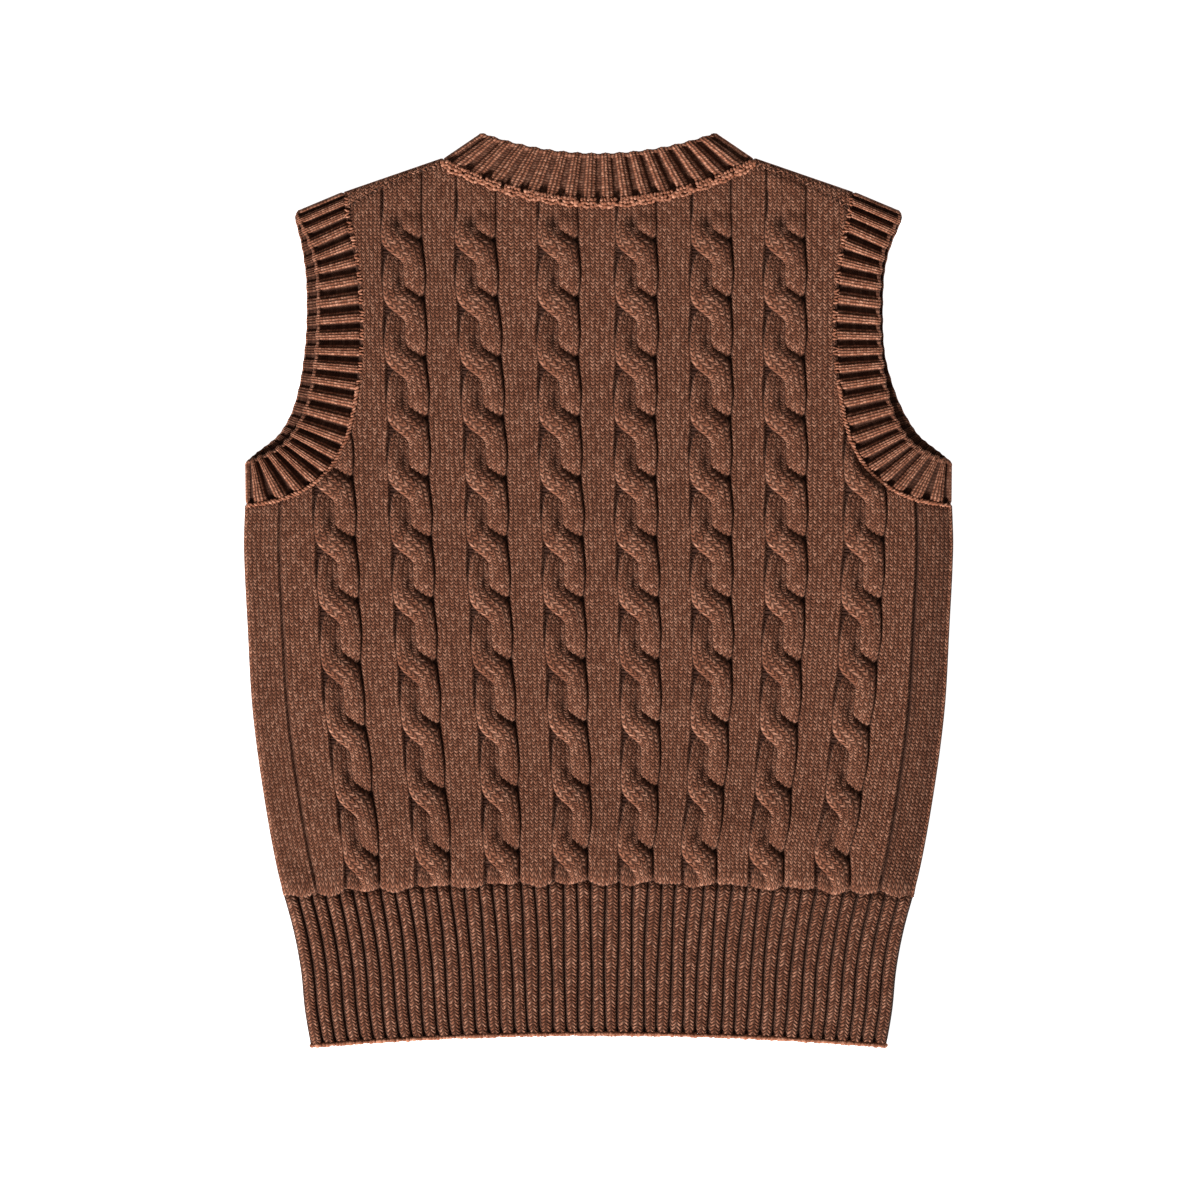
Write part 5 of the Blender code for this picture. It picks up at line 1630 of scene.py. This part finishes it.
SEAM_SHELF = 60.0
SEAM_STEPS = 400
RUN_REACH = 0.3             # a line's direction is taken between points this far on and back
UNEVEN = 0.14               # loops differ by about this share in size and turn
LOOP_SHARES = (0.7, 1.35)   # but not by more than these
CORD = (0.5, 0.95)          # half the width and half the height of a seam's inner cord
CORD_HEIGHT = 3.9
ARM_CORD_HEIGHT = 3.4
ARM_CORD_SHIFT = -0.25
NECK_CORD = (0.8, 0.95)
NECK_CORD_SHIFT = -0.2
NECK_CORD_SHADE = 0.7
NECK_RIDGE = 0.45           # half the share of a rib that has loops at the neck
ARM_RIDGE = 0.34
ARM_ROPE = 0.55             # past this share of the way down an armhole its loops are a rope
SHOULDER_SHARES = (-0.01, 1.01, 120)    # from past its one end to past the other, in steps
RIM_STEPS = 300
RIM_INSET = 0.6
RIM_FALL = 1.9              # how far the rim goes down at the side folds

# From the ends of a seam's line on the back, on round the folds.
NECK_FOLD = ((0.8, 1.1, -0.6), (1.1, 1.7, -1.5), (1.1, 1.8, -2.4))
ARM_FOLD = ((0.2, 0.8, -0.5), (0.3, 1.4, -1.4))
SIDE_FOLD = ((0.9, 0.0, -0.6), (1.4, 0.0, -1.5), (1.4, 0.0, -2.4))

# A row of loops: its height, how far it is moved towards a band's tip (at the neck on the
# ridges and in the grooves), the step from loop to loop, their half sizes and their tilts.
Loops = namedtuple("Loops", "height shifts step size tilts")
NECK_LOOPS = (
    Loops(5.0, (-2.1, -1.2), 1.9, (1.35, 0.9, 0.85), (0.5, -0.4)),
    Loops(5.3, (-0.4, -0.2), 1.7, (1.25, 0.9, 0.8), (-0.7, 0.6)),
    Loops(5.35, (1.1, 1.1), 1.5, (1.05, 0.8, 0.65), (1.2, -1.3)),
)
ROPE_LOOPS = Loops(4.8, (-0.4,), 1.6, (1.4, 0.75, 0.8), (0.65,))
RIDGE_LOOPS = Loops(4.45, (-0.7,), 1.35, (1.35, 0.55, 0.55), (1.3, 1.8))
SHOULDER_LOOPS = Loops(4.6, (), 2.4, (1.4, 0.5, 0.5), (0.8, -0.8))
RIM_LOOPS = Loops(2.0, (), 1.5, (1.45, 1.1, 1.1), (0.2,))


def spaced(line, step):
    """Points evenly spaced along a line, with the line's direction at each."""
    lengths = np.linalg.norm(np.diff(line, axis=0), axis=1)
    along = np.concatenate([[0.0], lengths.cumsum()])
    count = max(int(round(along[-1] / step)), 2)
    at = (np.arange(count) + 0.5) / count * along[-1]

    def spots_at(places):
        return np.stack([np.interp(places, along, line[:, axis]) for axis in range(3)], -1)

    return spots_at(at), unit(spots_at(at + RUN_REACH) - spots_at(at - RUN_REACH))


def at_height(line, height):
    return np.column_stack([line, np.full(len(line), height)])


def slanted_loops(piece, line, loops, chosen=None, turn=1):
    """A row of loops of yarn along a line, each turned by its tilt from the line's run."""
    spots, run = spaced(line, loops.step)
    chance = np.random.default_rng(len(spots))
    axes = []
    sizes = loops.size * chance.normal(1, UNEVEN, (len(spots), 3)).clip(*LOOP_SHARES)
    for index, along in enumerate(run):
        tilt = turn * loops.tilts[index % len(loops.tilts)]
        angle = tilt + chance.normal(0, UNEVEN)
        side = unit(np.cross(UP, along))
        first = along * math.cos(angle) + side * math.sin(angle)
        second = unit(np.cross(UP, first))
        axes.append(np.stack([first, second, np.cross(first, second)]))
    kept = np.ones(len(spots), bool) if chosen is None else chosen(spots)
    piece.beads(spots[kept], np.array(axes)[kept], sizes[kept])


def neck_seam_line(height, ridge_shift, groove_shift):
    """Along the neckband's base and over its folds, moved towards its tip by the shifts."""
    across = np.linspace(-1, 1, SEAM_STEPS)
    on_ridge = 0.5 - 0.5 * np.cos(np.pi * (across + 1) * NECK_RIBS)
    shift = groove_shift + (ridge_shift - groove_shift) * on_ridge
    line = at_height(offset_line(neck_line(across), shift[:, None]), height)
    end = line[-1] + NECK_FOLD
    return np.concatenate([end[::-1] * (-1, 1, 1), line, end])


def neck_seam():
    """The loops that join the neckband to the back."""
    def on_ridge(spots):
        rib = (spots[:, 0] / NECK_HALF + 1) / 2 * NECK_RIBS % 1
        return np.abs(rib - 0.5) < NECK_RIDGE

    piece = Piece("neck_seam", SEAM_SHELF)
    cord = neck_seam_line(CORD_HEIGHT, NECK_CORD_SHIFT, NECK_CORD_SHIFT)
    piece.tube(np.concatenate([cord[:3], cord[3:-3:3], cord[-3:]]), NECK_CORD, NECK_CORD_SHADE)
    for loops, left_out in zip(NECK_LOOPS, (0, 2, 3)):
        line = neck_seam_line(loops.height, *loops.shifts)
        slanted_loops(piece, line[left_out:len(line) - left_out], loops,
                      on_ridge if left_out else None)
    return piece.build(SEAM_KNIT)


def arm_seam(name, side):
    """The loops that join an armband to the back."""
    shares = np.linspace(0, 1, SEAM_STEPS)

    def line_at(height, shift):
        line = at_height(offset_line(arm_line("base", shares), shift), height)
        over = line[0] + ARM_FOLD
        return np.concatenate([over[::-1], line, line[-1] + SIDE_FOLD]) * (side, 1, 1)

    def share_of(spots):
        return np.interp(-spots[:, 1], -arm("base_y", shares), shares)

    def in_rope(spots):
        return share_of(spots) > ARM_ROPE

    def at_ridge_end(spots):
        share = share_of(spots)
        return (share < ARM_ROPE) & (np.abs(share * ARM_RIBS % 1 - 0.5) < ARM_RIDGE)

    piece = Piece(name, SEAM_SHELF)
    piece.tube(line_at(ARM_CORD_HEIGHT, ARM_CORD_SHIFT)[::3], CORD)
    slanted_loops(piece, line_at(ROPE_LOOPS.height, *ROPE_LOOPS.shifts), ROPE_LOOPS, in_rope,
                  side)
    slanted_loops(piece, line_at(RIDGE_LOOPS.height, *RIDGE_LOOPS.shifts), RIDGE_LOOPS,
                  at_ridge_end)
    return piece.build(SEAM_KNIT)


def shoulder_seam_loops(name, side):
    """The loops that join the back's shoulder to the front's strip."""
    flat = shoulder_seam(np.linspace(*SHOULDER_SHARES), 0.0)
    piece = Piece(name, SEAM_SHELF)
    piece.tube((at_height(flat, CORD_HEIGHT) * (side, 1, 1))[::2], CORD)
    slanted_loops(piece, at_height(flat, SHOULDER_LOOPS.height) * (side, 1, 1), SHOULDER_LOOPS)
    return piece.build(BODY_KNIT)


def hem_rim():
    """The cast-on loops along the foot of the back's hem."""
    x = np.linspace(-HEM_FOOT_HALF, HEM_FOOT_HALF, RIM_STEPS)
    y = hem_foot(x) + RIM_INSET
    turned = RIM_FALL * (1 - rounding(HEM_FOOT_HALF - np.abs(x), SIDE_ROUND))
    line = np.stack([x, y, back_inside(x, y) + RIM_LOOPS.height - turned], -1)
    piece = Piece("hem_rim", SEAM_SHELF)
    slanted_loops(piece, line, RIM_LOOPS)
    return piece.build(RIM_KNIT)


# ---------------------------------------------------------------- the floor, light, camera

# Sizes and places here are in metres.
FLOOR_REACH = 6.0
FLOOR_Z = -0.0004           # just below the vest
WHITE = (1.0, 1.0, 1.0, 1.0)
FLOOR_COLOUR = (0.82, 0.82, 0.82, 1.0)
FLOOR_GLOW = 0.95           # so that it shows nearly white, as in the photograph
SKY = 0.22
KEY_SIZE = 2.2
KEY_ENERGY = 1560.0
KEY_PLACE = (-2.86, -6.08, 3.76)
CAMERA_HEIGHT = 3.0
VIEW_WIDTH = 0.54           # how much of the surface the picture spans
SENSOR = 36.0               # millimetres
VIEW_MIDDLE = (0.000675, -0.004725)


def stage():
    """A plain pale floor, soft studio light and the camera straight above."""
    scene = bpy.context.scene
    scene.view_settings.view_transform = "Standard"
    mesh = bpy.data.meshes.new("floor")
    corners = [(x * FLOOR_REACH, y * FLOOR_REACH, FLOOR_Z)
               for x, y in ((-1, -1), (1, -1), (1, 1), (-1, 1))]
    mesh.from_pydata(corners, [], [(0, 1, 2, 3)])
    floor = bpy.data.objects.new("floor", mesh)
    scene.collection.objects.link(floor)
    material = bpy.data.materials.new("pale_floor")
    material.use_nodes = True
    shader = material.node_tree.nodes["Principled BSDF"]
    shader.inputs["Base Color"].default_value = FLOOR_COLOUR
    shader.inputs["Roughness"].default_value = 1.0
    shader.inputs["Specular IOR Level"].default_value = 0.0
    shader.inputs["Emission Color"].default_value = WHITE
    shader.inputs["Emission Strength"].default_value = FLOOR_GLOW
    mesh.materials.append(material)

    world = bpy.data.worlds.new("studio")
    world.use_nodes = True
    world.node_tree.nodes["Background"].inputs[0].default_value = WHITE
    world.node_tree.nodes["Background"].inputs[1].default_value = SKY
    scene.world = world

    key = bpy.data.lights.new("key", "AREA")
    key.shape = "DISK"
    key.size = KEY_SIZE
    key.energy = KEY_ENERGY
    key_object = bpy.data.objects.new("key", key)
    key_object.location = KEY_PLACE
    aim = -key_object.location
    key_object.rotation_euler = aim.to_track_quat("-Z", "Y").to_euler()
    scene.collection.objects.link(key_object)

    camera = bpy.data.cameras.new("camera")
    camera.sensor_width = SENSOR
    camera.lens = SENSOR * CAMERA_HEIGHT / VIEW_WIDTH
    camera_object = bpy.data.objects.new("camera", camera)
    camera_object.location = (*VIEW_MIDDLE, CAMERA_HEIGHT)
    scene.collection.objects.link(camera_object)
    scene.camera = camera_object


# ---------------------------------------------------------------- the whole garment

def main():
    back = back_knit()
    cables = [cable(number) for number in range(1, CABLE_COUNT + 1)]
    hem = hem_back_knit()
    hem_front = hem_front_knit()
    neckband = neckband_knit()
    left = armband_knit("armband_left_knit", -1, "armband_left")
    right = armband_knit("armband_right_knit", 1, "armband_right")
    front = front_knit()
    cables.append(neck_seam())
    for side, side_name in ((-1, "left"), (1, "right")):
        cables.append(arm_seam("arm_seam_" + side_name, side))
        cables.append(shoulder_seam_loops("shoulder_seam_" + side_name, side))
    hem_rim()
    stage()


main()
